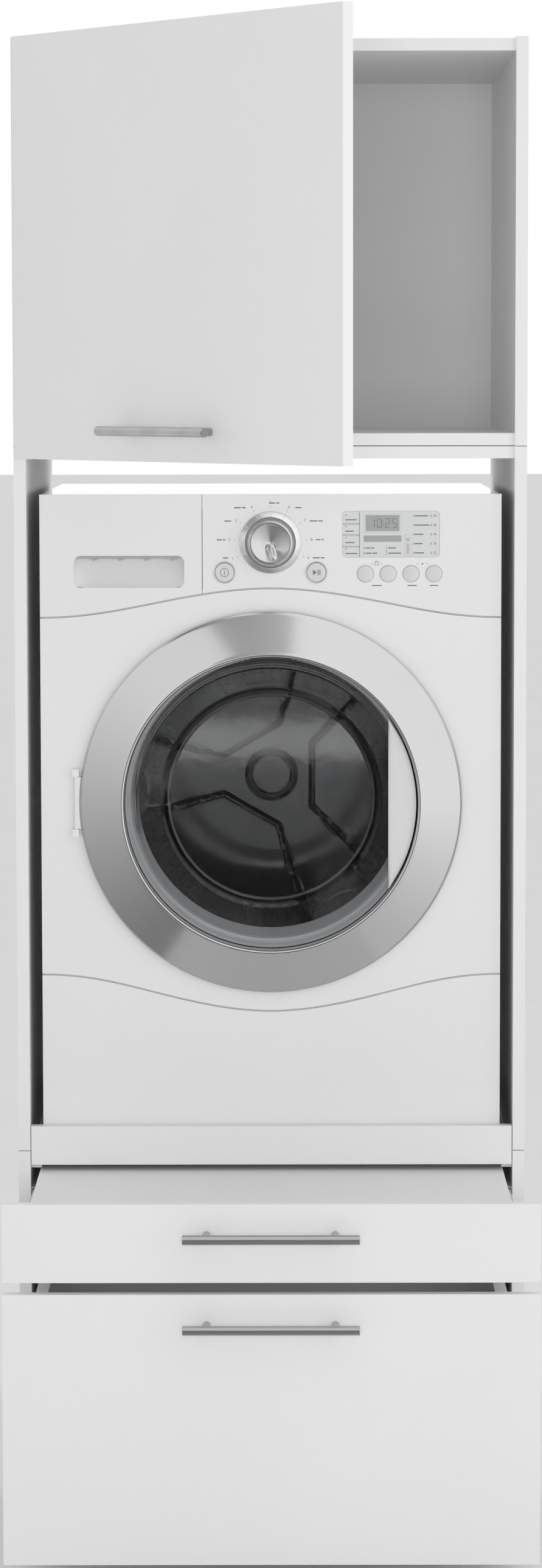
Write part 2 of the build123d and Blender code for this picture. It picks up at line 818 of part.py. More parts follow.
weight_inner = porthole_radius + weight_gap
with BuildPart() as counterweights:
    with BuildSketch(upright(tub_front)):
        with Locations((0, drum_z)):
            Circle(tub_radius - weight_edge)
            Circle(weight_inner, mode=Mode.SUBTRACT)
            with Locations((0, -tub_radius)):
                Rectangle(2 * tub_radius, 1.2 * tub_radius, mode=Mode.INTERSECT)
    extrude(amount=tub_front - wall_back - weight_front_gap)
    slab(top_weight_x, (tub_front + top_weight_setback[0], tub_back - top_weight_setback[1]),
         (drum_z + top_weight_rise, casing_top - top_weight_drop))
    with BuildSketch(upright(tub_back)):
        with Locations((0, drum_z)):
            Circle(tub_radius + weight_play)
    extrude(amount=tub_back - tub_front, mode=Mode.SUBTRACT)
write(counterweights.part, "counterweights")

with BuildPart() as motor_stator:
    revolve_about_drum([
        (tub_back, boss_radius), (tub_back, rotor_radius - stator_gap),
        (tub_back + stator_length, rotor_radius - stator_gap),
        (tub_back + stator_length, boss_radius)])
write(motor_stator.part, "motor_stator")

strut_x = machine_half - strut_inset
with BuildPart() as suspension:
    for side in (-1, 1):
        for y in (tub_front + strut_setback, tub_back - strut_setback):
            low = Vector(side * strut_x, front_y + y, casing_bottom + base_height)
            high = Vector(side * tub_radius * strut_reach, front_y + y,
                          drum_z - tub_radius * (1 - strut_reach ** 2) ** 0.5 - 3)
            along = high - low
            with BuildSketch(Plane(origin=low + along * 0.04, z_dir=along)):
                Circle(strut_radius)
            extrude(amount=along.length * 0.5)
            with BuildSketch(Plane(origin=low + along * 0.04, z_dir=along)):
                Circle(rod_radius)
            extrude(amount=along.length * 0.9)
write(suspension.part, "suspension")

# Drum and everything that turns with it --------------------------------------

with BuildPart() as drum_shell:
    revolve_about_drum([
        (drum_front, mouth_radius), (drum_front, drum_radius), (drum_back, drum_radius),
        (drum_back, 0), (drum_back - drum_wall, 0),
        (drum_back - drum_wall, drum_radius - drum_wall),
        (drum_front + drum_wall, drum_radius - drum_wall),
        (drum_front + drum_wall, mouth_radius + lip), (drum_front + lip_depth, mouth_radius + lip),
        (drum_front + lip_depth, mouth_radius)])
write(drum_shell.part, "drum_shell")

with BuildPart() as drum_lifters:
    base = drum_radius - drum_wall - lifter_gap
    shoulder = base - lifter_height + lifter_crown
    for number in range(lifter_count):
        middle = lifter_start + number * 360 / lifter_count
        spots = [about_drum(radius, middle + turn)
                 for radius, turn in ((base, -20), (shoulder, -8), (base - lifter_height, 0),
                                      (shoulder, 8), (base, 20), (base, 0))]
        with BuildSketch(upright(drum_back - drum_wall - 0.5)):
            with BuildLine():
                Line(spots[0], spots[1])
                ThreePointArc(spots[1], spots[2], spots[3])
                Line(spots[3], spots[4])
                ThreePointArc(spots[4], spots[5], spots[0])
            make_face()
        extrude(amount=drum_depth - 2 * drum_wall - 6)
write(drum_lifters.part, "drum_lifters")

with BuildPart() as drum_shaft:
    with BuildSketch(upright(drum_back)):
        with Locations((0, drum_z)):
            Circle(spider_hub)
            with PolarLocations(0, 3, start_angle=lifter_start + 60):
                Rectangle(drum_radius - spider_gap, spider_arm, align=(Align.MIN, Align.CENTER))
    extrude(amount=-spider_depth)
    revolve_about_drum([(drum_back, 0), (drum_back, shaft_radius),
                        (boss_end + 24, shaft_radius), (boss_end + 24, 0)])
write(drum_shaft.part, "drum_shaft")

with BuildPart() as motor_rotor:
    web = boss_end + 10
    revolve_about_drum([
        (web, shaft_radius), (web, 2 * shaft_radius), (web + 8, 2 * shaft_radius),
        (web + 8, rotor_radius - rotor_wall), (tub_back + rotor_start, rotor_radius - rotor_wall),
        (tub_back + rotor_start, rotor_radius), (web + 12, rotor_radius), (web + 12, shaft_radius)])
write(motor_rotor.part, "motor_rotor")
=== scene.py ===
# %% [markdown]
# # A laundry tower with a front-loading washing machine
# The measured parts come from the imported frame. This file gives them their finishes and adds
# what a maker would call trim: turned rings, the glass bowl, the perforated drum, prints and
# screws. Everything is in metres, in the frame's own axes: X to the right, -Y towards the user.

from math import cos, pi, radians, sin

import bmesh
import bpy
import numpy as np
from mathutils import Matrix, Vector


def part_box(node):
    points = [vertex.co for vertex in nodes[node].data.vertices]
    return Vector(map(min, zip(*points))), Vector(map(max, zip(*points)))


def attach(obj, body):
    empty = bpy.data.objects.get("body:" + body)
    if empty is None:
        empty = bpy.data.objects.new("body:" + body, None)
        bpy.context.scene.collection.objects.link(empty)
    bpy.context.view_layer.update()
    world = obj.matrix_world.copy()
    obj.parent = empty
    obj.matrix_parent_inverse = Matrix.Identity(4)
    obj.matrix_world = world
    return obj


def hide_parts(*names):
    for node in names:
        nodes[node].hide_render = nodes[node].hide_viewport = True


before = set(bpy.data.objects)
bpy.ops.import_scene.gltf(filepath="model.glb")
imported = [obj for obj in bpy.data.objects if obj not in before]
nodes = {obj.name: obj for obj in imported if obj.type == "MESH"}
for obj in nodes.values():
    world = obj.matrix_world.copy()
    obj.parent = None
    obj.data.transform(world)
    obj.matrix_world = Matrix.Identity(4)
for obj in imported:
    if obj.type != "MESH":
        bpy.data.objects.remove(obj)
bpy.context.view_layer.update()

# %% [markdown]
# ## Places
# Every place starts at the parts themselves. The cabinet's front edges, the machine's face and
# the middle of the porthole are read from them, and the trim is set off from there.

# %% Places read from the parts
MM = 0.001
MERGE_GAP = 1e-6  # points nearer than this become one
SLIVER = 1e-7  # edges shorter than this are removed


def middle(node):
    """The centre of a part's box, as an array."""
    low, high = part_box(node)
    return (np.array(low) + np.array(high)) / 2


cabinet_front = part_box("cupboard_sides")[0].y
face_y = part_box("control_fascia")[0].y
drum_low, drum_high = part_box("drum_shell")
port_x, _, port_z = middle("porthole_ring")
dial_x, _, dial_z = middle("program_knob")
print("porthole centre", round(port_x, 4), round(port_z, 4), "machine face", round(face_y, 4))

# %% [markdown]
# ## Shapes as grids
# A piece is a grid of points worked out by a formula, joined into quads. Modelling by hand
# would also work, but a formula keeps the outline exact and easy to change.

# %% Grid and lathe helpers


def make_piece(name, points, quads, body, material, smooth=35):
    """A mesh from points and faces, merged at seams and poles, facing outwards, riding a body."""
    mesh = bpy.data.meshes.new(name)
    mesh.from_pydata(np.asarray(points, float).tolist(), [], [list(q) for q in quads])
    work = bmesh.new()
    work.from_mesh(mesh)
    bmesh.ops.remove_doubles(work, verts=work.verts, dist=MERGE_GAP)
    bmesh.ops.dissolve_degenerate(work, edges=work.edges, dist=SLIVER)
    bmesh.ops.recalc_face_normals(work, faces=work.faces)
    work.to_mesh(mesh)
    work.free()
    mesh.shade_smooth()
    mesh.set_sharp_from_angle(angle=radians(smooth))
    piece = bpy.data.objects.new(name, mesh)
    bpy.context.scene.collection.objects.link(piece)
    piece.data.materials.append(material)
    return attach(piece, body)


def grid_quads(nu, nv, wrap_u=False, wrap_v=False):
    """Quads over an nu by nv grid: corner (i, j) joins (i+1, j), (i+1, j+1) and (i, j+1)."""
    i, j = np.meshgrid(np.arange(nu if wrap_u else nu - 1),
                       np.arange(nv if wrap_v else nv - 1), indexing="ij")
    i, j = i.ravel(), j.ravel()
    ni, nj = (i + 1) % nu, (j + 1) % nv
    return np.stack([i * nv + j, ni * nv + j, ni * nv + nj, i * nv + nj], axis=1)


def rounded(points, radius, steps=5):
    """Each corner of an outline becomes a parabola between points at most radius away from it."""
    points = np.asarray(points, float)
    before, after = np.roll(points, 1, axis=0), np.roll(points, -1, axis=0)
    reach_in = np.linalg.norm(before - points, axis=1, keepdims=True)
    reach_out = np.linalg.norm(after - points, axis=1, keepdims=True)
    start = points + (before - points) * np.minimum(radius / reach_in, 0.45)
    end = points + (after - points) * np.minimum(radius / reach_out, 0.45)
    t = np.linspace(0, 1, steps)[None, :, None]
    bent = (1 - t) ** 2 * start[:, None] + 2 * t * (1 - t) * points[:, None] + t**2 * end[:, None]
    return bent.reshape(-1, 2)


def lathe(name, outline, centre, body, material, turns=192, smooth=35):
    """An outline of (y, radius) carried round the Y axis through (x, z):
    x = centre + r cos a, z = centre + r sin a."""
    outline = np.asarray(outline, float)
    angle = np.linspace(0, 2 * pi, turns, endpoint=False)
    r, y = outline[:, 1][:, None], outline[:, 0][:, None]
    points = np.stack([centre[0] + r * np.cos(angle), y + 0 * angle,
                       centre[1] + r * np.sin(angle)], axis=-1)
    quads = grid_quads(len(outline), turns, wrap_u=True, wrap_v=True)
    return make_piece(name, points.reshape(-1, 3), quads, body, material, smooth)


def thicken(piece, thickness, offset=-1.0):
    """Turns a surface into sheet of a thickness; an offset of 0 puts half of it on each side."""
    sheet = piece.modifiers.new("sheet", "SOLIDIFY")
    sheet.thickness = thickness
    sheet.offset = offset


def prisms(name, outlines, y, thickness, body, material):
    """Flat marks: each outline of (x, z) is a thin plate whose front stands at y."""
    points, faces, start = [], [], 0
    for outline in outlines:
        outline = np.asarray(outline, float)
        n = len(outline)
        k = np.arange(n)
        for depth in (0.0, thickness):
            points.append(np.stack([outline[:, 0], np.full(n, y + depth), outline[:, 1]], axis=1))
        ring = np.stack([k, k + n, (k + 1) % n + n, (k + 1) % n], axis=1) + start
        faces += [*ring.tolist(), (k + start).tolist(), (k[::-1] + n + start).tolist()]
        start += 2 * n
    return make_piece(name, np.concatenate(points), faces, body, material)


def rectangle(x, z, width, height):
    """Four corners about a centre."""
    w, h = width / 2, height / 2
    return [(x - w, z - h), (x + w, z - h), (x + w, z + h), (x - w, z + h)]


def disc(x, z, radius, sides=28):
    """A regular polygon that reads as a circle."""
    a = np.linspace(0, 2 * pi, sides, endpoint=False)
    return np.stack([x + radius * np.cos(a), z + radius * np.sin(a)], axis=1)


def arc_band(x, z, radius, width, start, end, steps=40):
    """A strip along an arc, from one angle to another in degrees."""
    a = np.radians(np.linspace(start, end, steps))
    outer = np.stack([x + (radius + width / 2) * np.cos(a), z + (radius + width / 2) * np.sin(a)], 1)
    inner = np.stack([x + (radius - width / 2) * np.cos(a), z + (radius - width / 2) * np.sin(a)], 1)
    return np.concatenate([outer, inner[::-1]])


# %% [markdown]
# ## Finishes
# Each finish is a Principled shader. The colour drifts a little from place to place, and a fine
# bump gives enamel its orange peel, melamine its pores and steel its brushing.

# %% Material helper


def finish(name, colour, rough, metal=0.0, drift=0.02, drift_scale=3.0, bump=0.05,
           bump_scale=400.0, stretch=(1, 1, 1), rough_drift=0.05, coat=0.0, specular=0.5):
    """A procedural finish: two noises drive the colour and the roughness, a third the bump."""
    material = bpy.data.materials.new(name)
    material.use_nodes = True
    tree = material.node_tree
    shader = tree.nodes["Principled BSDF"]
    shader.inputs["Metallic"].default_value = metal
    shader.inputs["Coat Weight"].default_value = coat
    shader.inputs["Coat Roughness"].default_value = 0.08
    shader.inputs["Specular IOR Level"].default_value = specular
    place = tree.nodes.new("ShaderNodeTexCoord")
    turn = tree.nodes.new("ShaderNodeMapping")
    turn.inputs["Scale"].default_value = stretch
    tree.links.new(place.outputs["Object"], turn.inputs["Vector"])

    def noise(scale, detail):
        node = tree.nodes.new("ShaderNodeTexNoise")
        node.inputs["Scale"].default_value = scale
        node.inputs["Detail"].default_value = detail
        tree.links.new(turn.outputs["Vector"], node.inputs["Vector"])
        return node

    ramp = tree.nodes.new("ShaderNodeValToRGB")
    ramp.color_ramp.elements[0].position = 0.3
    ramp.color_ramp.elements[1].position = 0.7
    low = [c * (1 - drift) for c in colour]
    high = [min(c * (1 + drift), 1) for c in colour]
    ramp.color_ramp.elements[0].color = (*low, 1)
    ramp.color_ramp.elements[1].color = (*high, 1)
    tree.links.new(noise(drift_scale, 3).outputs["Fac"], ramp.inputs["Fac"])
    tree.links.new(ramp.outputs["Color"], shader.inputs["Base Color"])

    spread = tree.nodes.new("ShaderNodeMapRange")
    spread.inputs["To Min"].default_value = max(rough - rough_drift, 0.02)
    spread.inputs["To Max"].default_value = min(rough + rough_drift, 1.0)
    tree.links.new(noise(drift_scale * 7, 2).outputs["Fac"], spread.inputs["Value"])
    tree.links.new(spread.outputs["Result"], shader.inputs["Roughness"])

    if bump:
        relief = tree.nodes.new("ShaderNodeBump")
        relief.inputs["Strength"].default_value = bump
        relief.inputs["Distance"].default_value = 0.0004
        tree.links.new(noise(bump_scale, 2).outputs["Fac"], relief.inputs["Height"])
        tree.links.new(relief.outputs["Normal"], shader.inputs["Normal"])
    return material


def glass(name, tint, rough=0.02, ior=1.45):
    """Clear or smoked glass: full transmission, with the tint in the base colour."""
    material = finish(name, tint, rough, bump=0.02, bump_scale=60, rough_drift=0.01)
    shader = material.node_tree.nodes["Principled BSDF"]
    shader.inputs["Transmission Weight"].default_value = 1.0
    shader.inputs["IOR"].default_value = ior
    return material


# %% The finishes of this tower
melamine = finish("melamine", (0.86, 0.86, 0.86), 0.42, bump=0.12, bump_scale=900, drift=0.012)
brushed_bar = finish("brushed_bar", (0.42, 0.42, 0.43), 0.3, metal=1.0, bump=0.3, bump_scale=900,
                     stretch=(0.02, 1, 1), drift=0.08, drift_scale=40)
epoxy_steel = finish("epoxy_steel", (0.62, 0.62, 0.62), 0.4, bump=0.1, bump_scale=500)
nickel = finish("nickel", (0.62, 0.6, 0.57), 0.25, metal=1.0, bump=0.05, bump_scale=300)
glide_grey = finish("glide_grey", (0.35, 0.35, 0.35), 0.6, bump=0.2, bump_scale=700)
enamel = finish("enamel", (0.86, 0.86, 0.855), 0.22, bump=0.06, bump_scale=260, drift=0.008, coat=0.3)
gloss_white = finish("gloss_white", (0.86, 0.86, 0.86), 0.06, bump=0.02, bump_scale=200, drift=0.005,
                     rough_drift=0.02, coat=1.0)
satin_white = finish("satin_white", (0.84, 0.84, 0.835), 0.34, bump=0.08, bump_scale=1300, drift=0.01)
grip_white = finish("grip_white", (0.74, 0.74, 0.735), 0.3, bump=0.08, bump_scale=1300, drift=0.01)
galvanised = finish("galvanised", (0.5, 0.51, 0.52), 0.45, metal=0.9, drift=0.08, drift_scale=90,
                    bump=0.1, bump_scale=120)
satin_silver = finish("satin_silver", (0.56, 0.56, 0.56), 0.16, metal=1.0, bump=0.03, bump_scale=2200,
                      drift=0.02)
turned_steel = finish("turned_steel", (0.58, 0.58, 0.58), 0.22, metal=1.0, bump=0.05,
                      bump_scale=1500)
bezel_silver = finish("bezel_silver", (0.78, 0.78, 0.78), 0.28, metal=1.0, bump=0.05, bump_scale=1500)
button_grey = finish("button_grey", (0.7, 0.7, 0.7), 0.35, bump=0.05, bump_scale=1500)
display_grey = finish("display_grey", (0.72, 0.73, 0.73), 0.25, bump=0.02, bump_scale=900)
lcd_dark = finish("lcd_dark", (0.4, 0.41, 0.41), 0.3, bump=0.02, bump_scale=900)
print_grey = finish("print_grey", (0.2, 0.2, 0.2), 0.5, bump=0.1, bump_scale=3000)
print_pale = finish("print_pale", (0.52, 0.52, 0.52), 0.5, bump=0.1, bump_scale=3000)
tick_lit = finish("tick_lit", (0.85, 0.8, 0.62), 0.4, bump=0.05, bump_scale=2000)
# painted shade: the grey of the strips that lie in the wave grooves
groove_shade_grey = finish("groove_shade_grey", (0.5, 0.5, 0.5), 0.5, bump=0.1, bump_scale=700)
groove_dark = finish("groove_dark", (0.16, 0.16, 0.16), 0.6, bump=0.1, bump_scale=700)
# painted shade: this grey stands for the shade that falls under the grip's top lip, on the lip and on its
# ribs
shaded_lip_grey = finish("shaded_lip_grey", (0.42, 0.42, 0.42), 0.4, bump=0.08, bump_scale=1300)
rubber = finish("rubber", (0.06, 0.06, 0.06), 0.55, bump=0.25, bump_scale=600, drift=0.15)
# painted shade: a darker copy of the drum's steel for its end, mouth and shaft, standing for the shade deep
# inside the drum
drum_steel = finish("drum_steel", (0.3, 0.3, 0.3), 0.14, metal=1.0, bump=0.02, bump_scale=700,
                    drift=0.1, drift_scale=12)
drum_sheet = finish("drum_sheet", (0.55, 0.55, 0.55), 0.28, metal=1.0, bump=0.03, bump_scale=700,
                    drift=0.08, drift_scale=12)
lifter_grey = finish("lifter_grey", (0.12, 0.12, 0.12), 0.15, bump=0.05, bump_scale=60, coat=0.6)
tub_grey = finish("tub_grey", (0.04, 0.04, 0.04), 0.6, bump=0.2, bump_scale=300)
concrete = finish("concrete", (0.4, 0.39, 0.37), 0.85, bump=0.6, bump_scale=160, drift=0.15)
windings = finish("windings", (0.5, 0.22, 0.1), 0.35, metal=0.7, bump=0.3, bump_scale=300)
dark_metal = finish("dark_metal", (0.1, 0.1, 0.1), 0.4, metal=0.6, bump=0.1, bump_scale=300)
smoked = glass("smoked_glass", (0.86, 0.87, 0.88))
lcd_print = finish("lcd_print", (0.22, 0.23, 0.23), 0.4, bump=0.05, bump_scale=3000)
# partly painted reflection: the inner frame's grey stands for light reflected in the glass flange
frame_and_reflection_grey = finish("frame_and_reflection_grey", (0.5, 0.5, 0.51), 0.35, bump=0.05, bump_scale=900, coat=0.2)
print("finishes:", len(bpy.data.materials))

# %% [markdown]
# ## Dressing the parts
# A part whose shape is right keeps its mesh and only gets a finish. One table says which.

# %% Finish for each part that stays
DRESS = {
    melamine: "base_sides base_bottom base_back platform platform_battens retaining_board "
              "bay_sides bay_ceiling cupboard_sides cupboard_bottom cupboard_top cupboard_back "
              "cupboard_door shelf_front shelf_tray drawer_front drawer_walls drawer_bottom",
    brushed_bar: "door_handle shelf_handle drawer_handle",
    epoxy_steel: "cabinet_rails shelf_rails drawer_rails",
    nickel: "hinge_cups hinge_arms",
    glide_grey: "floor_glides machine_feet",
    enamel: "machine_sides machine_front kick_panel",
    gloss_white: "machine_cover",
    satin_white: "control_fascia detergent_drawer porthole_hinge",
    grip_white: "porthole_grip",
    galvanised: "machine_back_panel machine_base",
    satin_silver: "porthole_ring program_knob",
    smoked: "porthole_glass",
    display_grey: "display_window",
    bezel_silver: "control_bezels",
    button_grey: "power_button start_button option_button_1 option_button_2 option_button_3 "
                 "option_button_4",
    rubber: "door_gasket",
    drum_steel: "drum_shell drum_shaft",
    lifter_grey: "drum_lifters",
    tub_grey: "tub detergent_housing",
    concrete: "counterweights",
    windings: "motor_stator",
    turned_steel: "drum_bearings motor_rotor",
    dark_metal: "suspension",
}
for material, names in DRESS.items():
    for name in names.split():
        mesh = nodes[name].data
        mesh.materials.clear()
        mesh.materials.append(material)
print("dressed:", sum(len(names.split()) for names in DRESS.values()), "of", len(nodes))

# %% [markdown]
# ## The silver ring
# The ring is turned, so its section is drawn once and carried round. It rises from a thin outer
# bead to a crest near the glass, so its top mirrors what is above it and its foot what is below.

# %% Turn the ring
ring_low, ring_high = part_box("porthole_ring")
ring_radius = (ring_high.x - ring_low.x) / 2
ring_bore = ring_radius - 60 * MM
ring_back, ring_crest = ring_high.y, ring_low.y
centre = (port_x, port_z)

section = rounded([
    (ring_back - 1 * MM, ring_radius - 0.2 * MM), (ring_back - 7 * MM, ring_radius - 0.2 * MM),
    (ring_back - 9 * MM, ring_radius - 2.5 * MM), (ring_back - 10 * MM, ring_radius - 3.5 * MM),
    (ring_crest + 2.2 * MM, ring_bore + 7 * MM), (ring_crest + 0.2 * MM, ring_bore + 4 * MM),
    (ring_crest + 1.5 * MM, ring_bore + 0.5 * MM), (ring_back - 6 * MM, ring_bore + 0.2 * MM),
    (ring_back - 5 * MM, ring_bore + 2 * MM), (ring_back - 1 * MM, ring_bore + 6 * MM)], 3 * MM)
ring = lathe("turned_ring", section, centre, "porthole_door", satin_silver, turns=256)
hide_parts("porthole_ring")
print("ring radius", round(ring_radius, 4), "bore", round(ring_bore, 4))

# %% [markdown]
# ## The glass bowl
# A porthole glass is pressed: a flat flange, a cone that leads back, a rounded heel and a
# flat end. Both faces are drawn, so light bends twice as it does in real glass.

# %% Turn the bowl
glass_low, glass_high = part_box("porthole_glass")
flange_y, bowl_end = glass_low.y, glass_high.y
mouth, heel = ring_bore - 16 * MM, ring_bore - 44 * MM
wall = 5 * MM
bowl_corners = np.array([
    (flange_y + 0.3 * MM, ring_bore), (flange_y + 0.3 * MM, mouth + 2 * MM),
    (bowl_end - 14 * MM, heel - wall), (bowl_end - 1.3 * wall, heel - 12 * MM),
    (bowl_end - 1.3 * wall, heel - 18 * MM), (bowl_end - 1.3 * wall, 60 * MM),
    (bowl_end - 1.3 * wall, 0.1 * MM), (bowl_end - 0.3 * wall, 0.1 * MM),
    (bowl_end - 0.3 * wall, 60 * MM), (bowl_end - 0.3 * wall, heel - 17 * MM),
    (bowl_end - 0.3 * wall, heel - 10 * MM), (bowl_end - 12 * MM, heel),
    (flange_y + wall, mouth + 1.1 * wall), (flange_y + wall, ring_bore)])
BEND_STEPS = 6
bowl_outline = rounded(bowl_corners, 7 * MM, BEND_STEPS).reshape(-1, BEND_STEPS, 2)
on_axis = bowl_corners[:, 1] < 1 * MM
bowl_outline[on_axis] = bowl_corners[on_axis][:, None]
bowl_outline = bowl_outline.reshape(-1, 2)
bowl = lathe("glass_bowl", bowl_outline, centre, "porthole_door", smoked, turns=160, smooth=60)
bowl.visible_shadow = False  # lamps light the drum as if the bowl were not there
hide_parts("porthole_glass")
print("bowl depth", round(bowl_end - flange_y, 4))

# %% [markdown]
# ## The drum
# The drum is sheet steel with rows of round holes. Each hole is one cell of a grid: eight
# points on a square joined to eight on a circle. Rolled round the axis, the cells make the wall.

# %% Perforated wall
drum_radius = (drum_high.x - drum_low.x) / 2 - 2 * MM
drum_front, drum_back = drum_low.y, drum_high.y
DRUM_SHEET = 0.8 * MM
HOLES_AROUND, HOLES_ALONG, HOLE_RADIUS = 60, 13, 3.4 * MM
WALL_MARGIN = 12 * MM


def perforated_wall(around, along, hole):
    """Cell (i, j) spans one step of angle and one of depth. Its outer ring is a square at
    (+-1, +-1), its inner ring a circle: angle = step (i + u / 2), y = start + pitch (j + v / 2)."""
    a = np.radians(np.arange(0, 360, 45))
    square = np.stack([np.cos(a), np.sin(a)], 1)
    square /= np.abs(square).max(1, keepdims=True)
    pitch = (drum_back - drum_front - 2 * WALL_MARGIN) / along
    arc = 2 * pi * drum_radius / around
    circle = np.stack([np.cos(a) * hole / (arc / 2), np.sin(a) * hole / (pitch / 2)], 1)
    cell = np.stack([square, circle])
    i, j = np.meshgrid(np.arange(around), np.arange(along), indexing="ij")
    u = i.ravel()[:, None, None] + 0.5 + cell[None, :, :, 0] / 2
    v = j.ravel()[:, None, None] + 0.5 + cell[None, :, :, 1] / 2
    turn = 2 * pi * u / around
    points = np.stack([port_x + drum_radius * np.cos(turn), drum_front + WALL_MARGIN + pitch * v,
                       port_z + drum_radius * np.sin(turn)], axis=-1)
    k = np.arange(8)
    ring = np.stack([k, (k + 1) % 8, (k + 1) % 8 + 8, k + 8], axis=1)
    quads = (ring[None] + 16 * np.arange(around * along)[:, None, None]).reshape(-1, 4)
    return points.reshape(-1, 3), quads


points, quads = perforated_wall(HOLES_AROUND, HOLES_ALONG, HOLE_RADIUS)
wall_piece = make_piece("drum_wall", points, quads, "drum", drum_sheet, smooth=60)
thicken(wall_piece, DRUM_SHEET, offset=0)
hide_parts("drum_shell")
print("drum wall faces", len(wall_piece.data.polygons))

# %% Back wall with its three pressed lobes
hub, inner_rim = 34 * MM, drum_radius - 1 * MM
back_face = drum_back - 4 * MM
LOBE_START, LOBE_HALF, LOBE_RISE = 53 * MM, 46 * MM, 9 * MM


def step(distance, width):
    """A smooth step: 3 s^2 - 2 s^3, where s is the distance over the width, kept in 0..1."""
    s = np.clip(distance / width, 0, 1)
    return s * s * (3 - 2 * s)


def pressed_height(x, z):
    """How far the sheet stands forward at (x, z) from the axis: three trapezoid lobes that widen
    towards the wall, a double ring round the hub and a rolled corner at the rim."""
    r = np.hypot(x, z)
    rise = np.zeros_like(r)
    for turn in np.radians((0, 120, 240)):
        along = x * np.cos(turn) + z * np.sin(turn) - LOBE_START
        across = np.abs(-x * np.sin(turn) + z * np.cos(turn))
        inside = np.minimum(along, (LOBE_HALF + 1.04 * along - across) / 1.44)
        rise = np.maximum(rise, LOBE_RISE * step(inside, 5 * MM)
                          + 1.6 * MM * np.exp(-((inside - 5 * MM) / (1.6 * MM)) ** 2))
    rise = rise * step(inner_rim - 10 * MM - r, 12 * MM)
    ring = np.exp(-((r - hub) / (1.6 * MM)) ** 2) + 0.8 * np.exp(-((r - hub + 5 * MM) / (1.4 * MM)) ** 2)
    corner = 14 * MM * step(r - inner_rim + 16 * MM, 16 * MM) ** 2
    return rise + 3.2 * MM * ring + corner


END_TURNS = 240
r = np.concatenate([np.linspace(0.2, 60, 46), np.linspace(61.5, inner_rim / MM, 98)])[:, None] * MM
turn = np.linspace(0, 2 * pi, END_TURNS, endpoint=False)[None, :]
x, z = r * np.cos(turn), r * np.sin(turn)
points = np.stack([port_x + x, back_face - pressed_height(x, z), port_z + z], axis=-1)
# The end takes the darker steel, a painted shade for the inside of the drum.
back_piece = make_piece("drum_end", points.reshape(-1, 3), grid_quads(len(r), END_TURNS, wrap_v=True),
                        "drum", drum_steel, smooth=60)
thicken(back_piece, DRUM_SHEET, offset=0)
print("drum end faces", len(back_piece.data.polygons))

# %% Lifters
lifter_wall = drum_radius - 1.5 * MM
lifter_length = drum_back - drum_front - 18 * MM
LIFTER_ANGLES = (60, 180, 300)
ROW, ACROSS = 48, 41
t = np.linspace(0, 1, ROW)[:, None]
phi = np.linspace(0, pi, ACROSS)[None, :]
nose = np.sqrt(1 - (1 - np.clip(t / 0.2, 0, 1)) ** 2)
half_width = (30 + 18 * nose) * MM
height = 76 * MM * nose
across = half_width * np.sign(np.cos(phi)) * np.abs(np.cos(phi)) ** 0.75
up = height * np.sin(phi) ** 0.6 + 0 * across
shell = []
for angle in LIFTER_ANGLES:
    a = radians(angle)
    foot = np.sqrt(np.maximum(lifter_wall**2 - across**2, 0))
    radial = foot - up
    shell.append(np.stack([port_x + radial * cos(a) - across * sin(a),
                           drum_front + 9 * MM + lifter_length * t + 0 * across,
                           port_z + radial * sin(a) + across * cos(a)], axis=-1).reshape(-1, 3))
count = ROW * ACROSS
quads = np.concatenate([grid_quads(ROW, ACROSS) + k * count for k in range(len(LIFTER_ANGLES))])
lifters = make_piece("moulded_lifters", np.concatenate(shell), quads, "drum", lifter_grey, smooth=50)
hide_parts("drum_lifters")
print("lifters", len(lifters.data.polygons), "faces")

# %% Drum front wall
mouth_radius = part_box("door_gasket")[1].z - port_z - 43 * MM
front_outline = rounded([
    (drum_front + 13 * MM, drum_radius - 0.5 * MM), (drum_front, drum_radius - 10 * MM),
    (drum_front + 1 * MM, mouth_radius + 8 * MM), (drum_front + 7 * MM, mouth_radius + 1 * MM),
    (drum_front + 8 * MM, mouth_radius + 4 * MM), (drum_front + 3 * MM, mouth_radius + 11 * MM),
    (drum_front + 3 * MM, drum_radius - 11 * MM), (drum_front + 14 * MM, drum_radius - 2 * MM)],
    4 * MM, steps=4)
front_piece = lathe("drum_mouth", front_outline, centre, "drum", drum_steel, turns=144)
print("drum mouth radius", round(mouth_radius, 4))

# %% [markdown]
# ## The gasket
# The rubber bellows between casing and tub is folded so that the tub can shake. Its section is a
# wave that runs from the front rim to the lip that the glass presses on.

# %% Fold the gasket
gasket_low, gasket_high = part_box("door_gasket")
rim = (gasket_high.z - gasket_low.z) / 2 - 8 * MM
t = np.linspace(0, 1, 60)
fold_y = gasket_low.y + 1 * MM + t * (gasket_high.y - gasket_low.y - 6 * MM)
fold_r = rim - 2 * MM - 32 * MM * t + 4 * MM * np.sin(t * 5 * pi)
sheet = np.stack([fold_y, fold_r], axis=1)
section = np.concatenate([sheet, sheet[::-1] + np.array([1.5 * MM, 3 * MM])])
bellows = lathe("gasket_bellows", section, centre, "cabinet", rubber, turns=144, smooth=70)
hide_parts("door_gasket")

# %% [markdown]
# ## The programme knob
# The knob is a turned cup. Its face is a shallow cone inside a domed collar, with a bent ridge
# running down from the middle between two hollows, which is what fingers feel and turn.

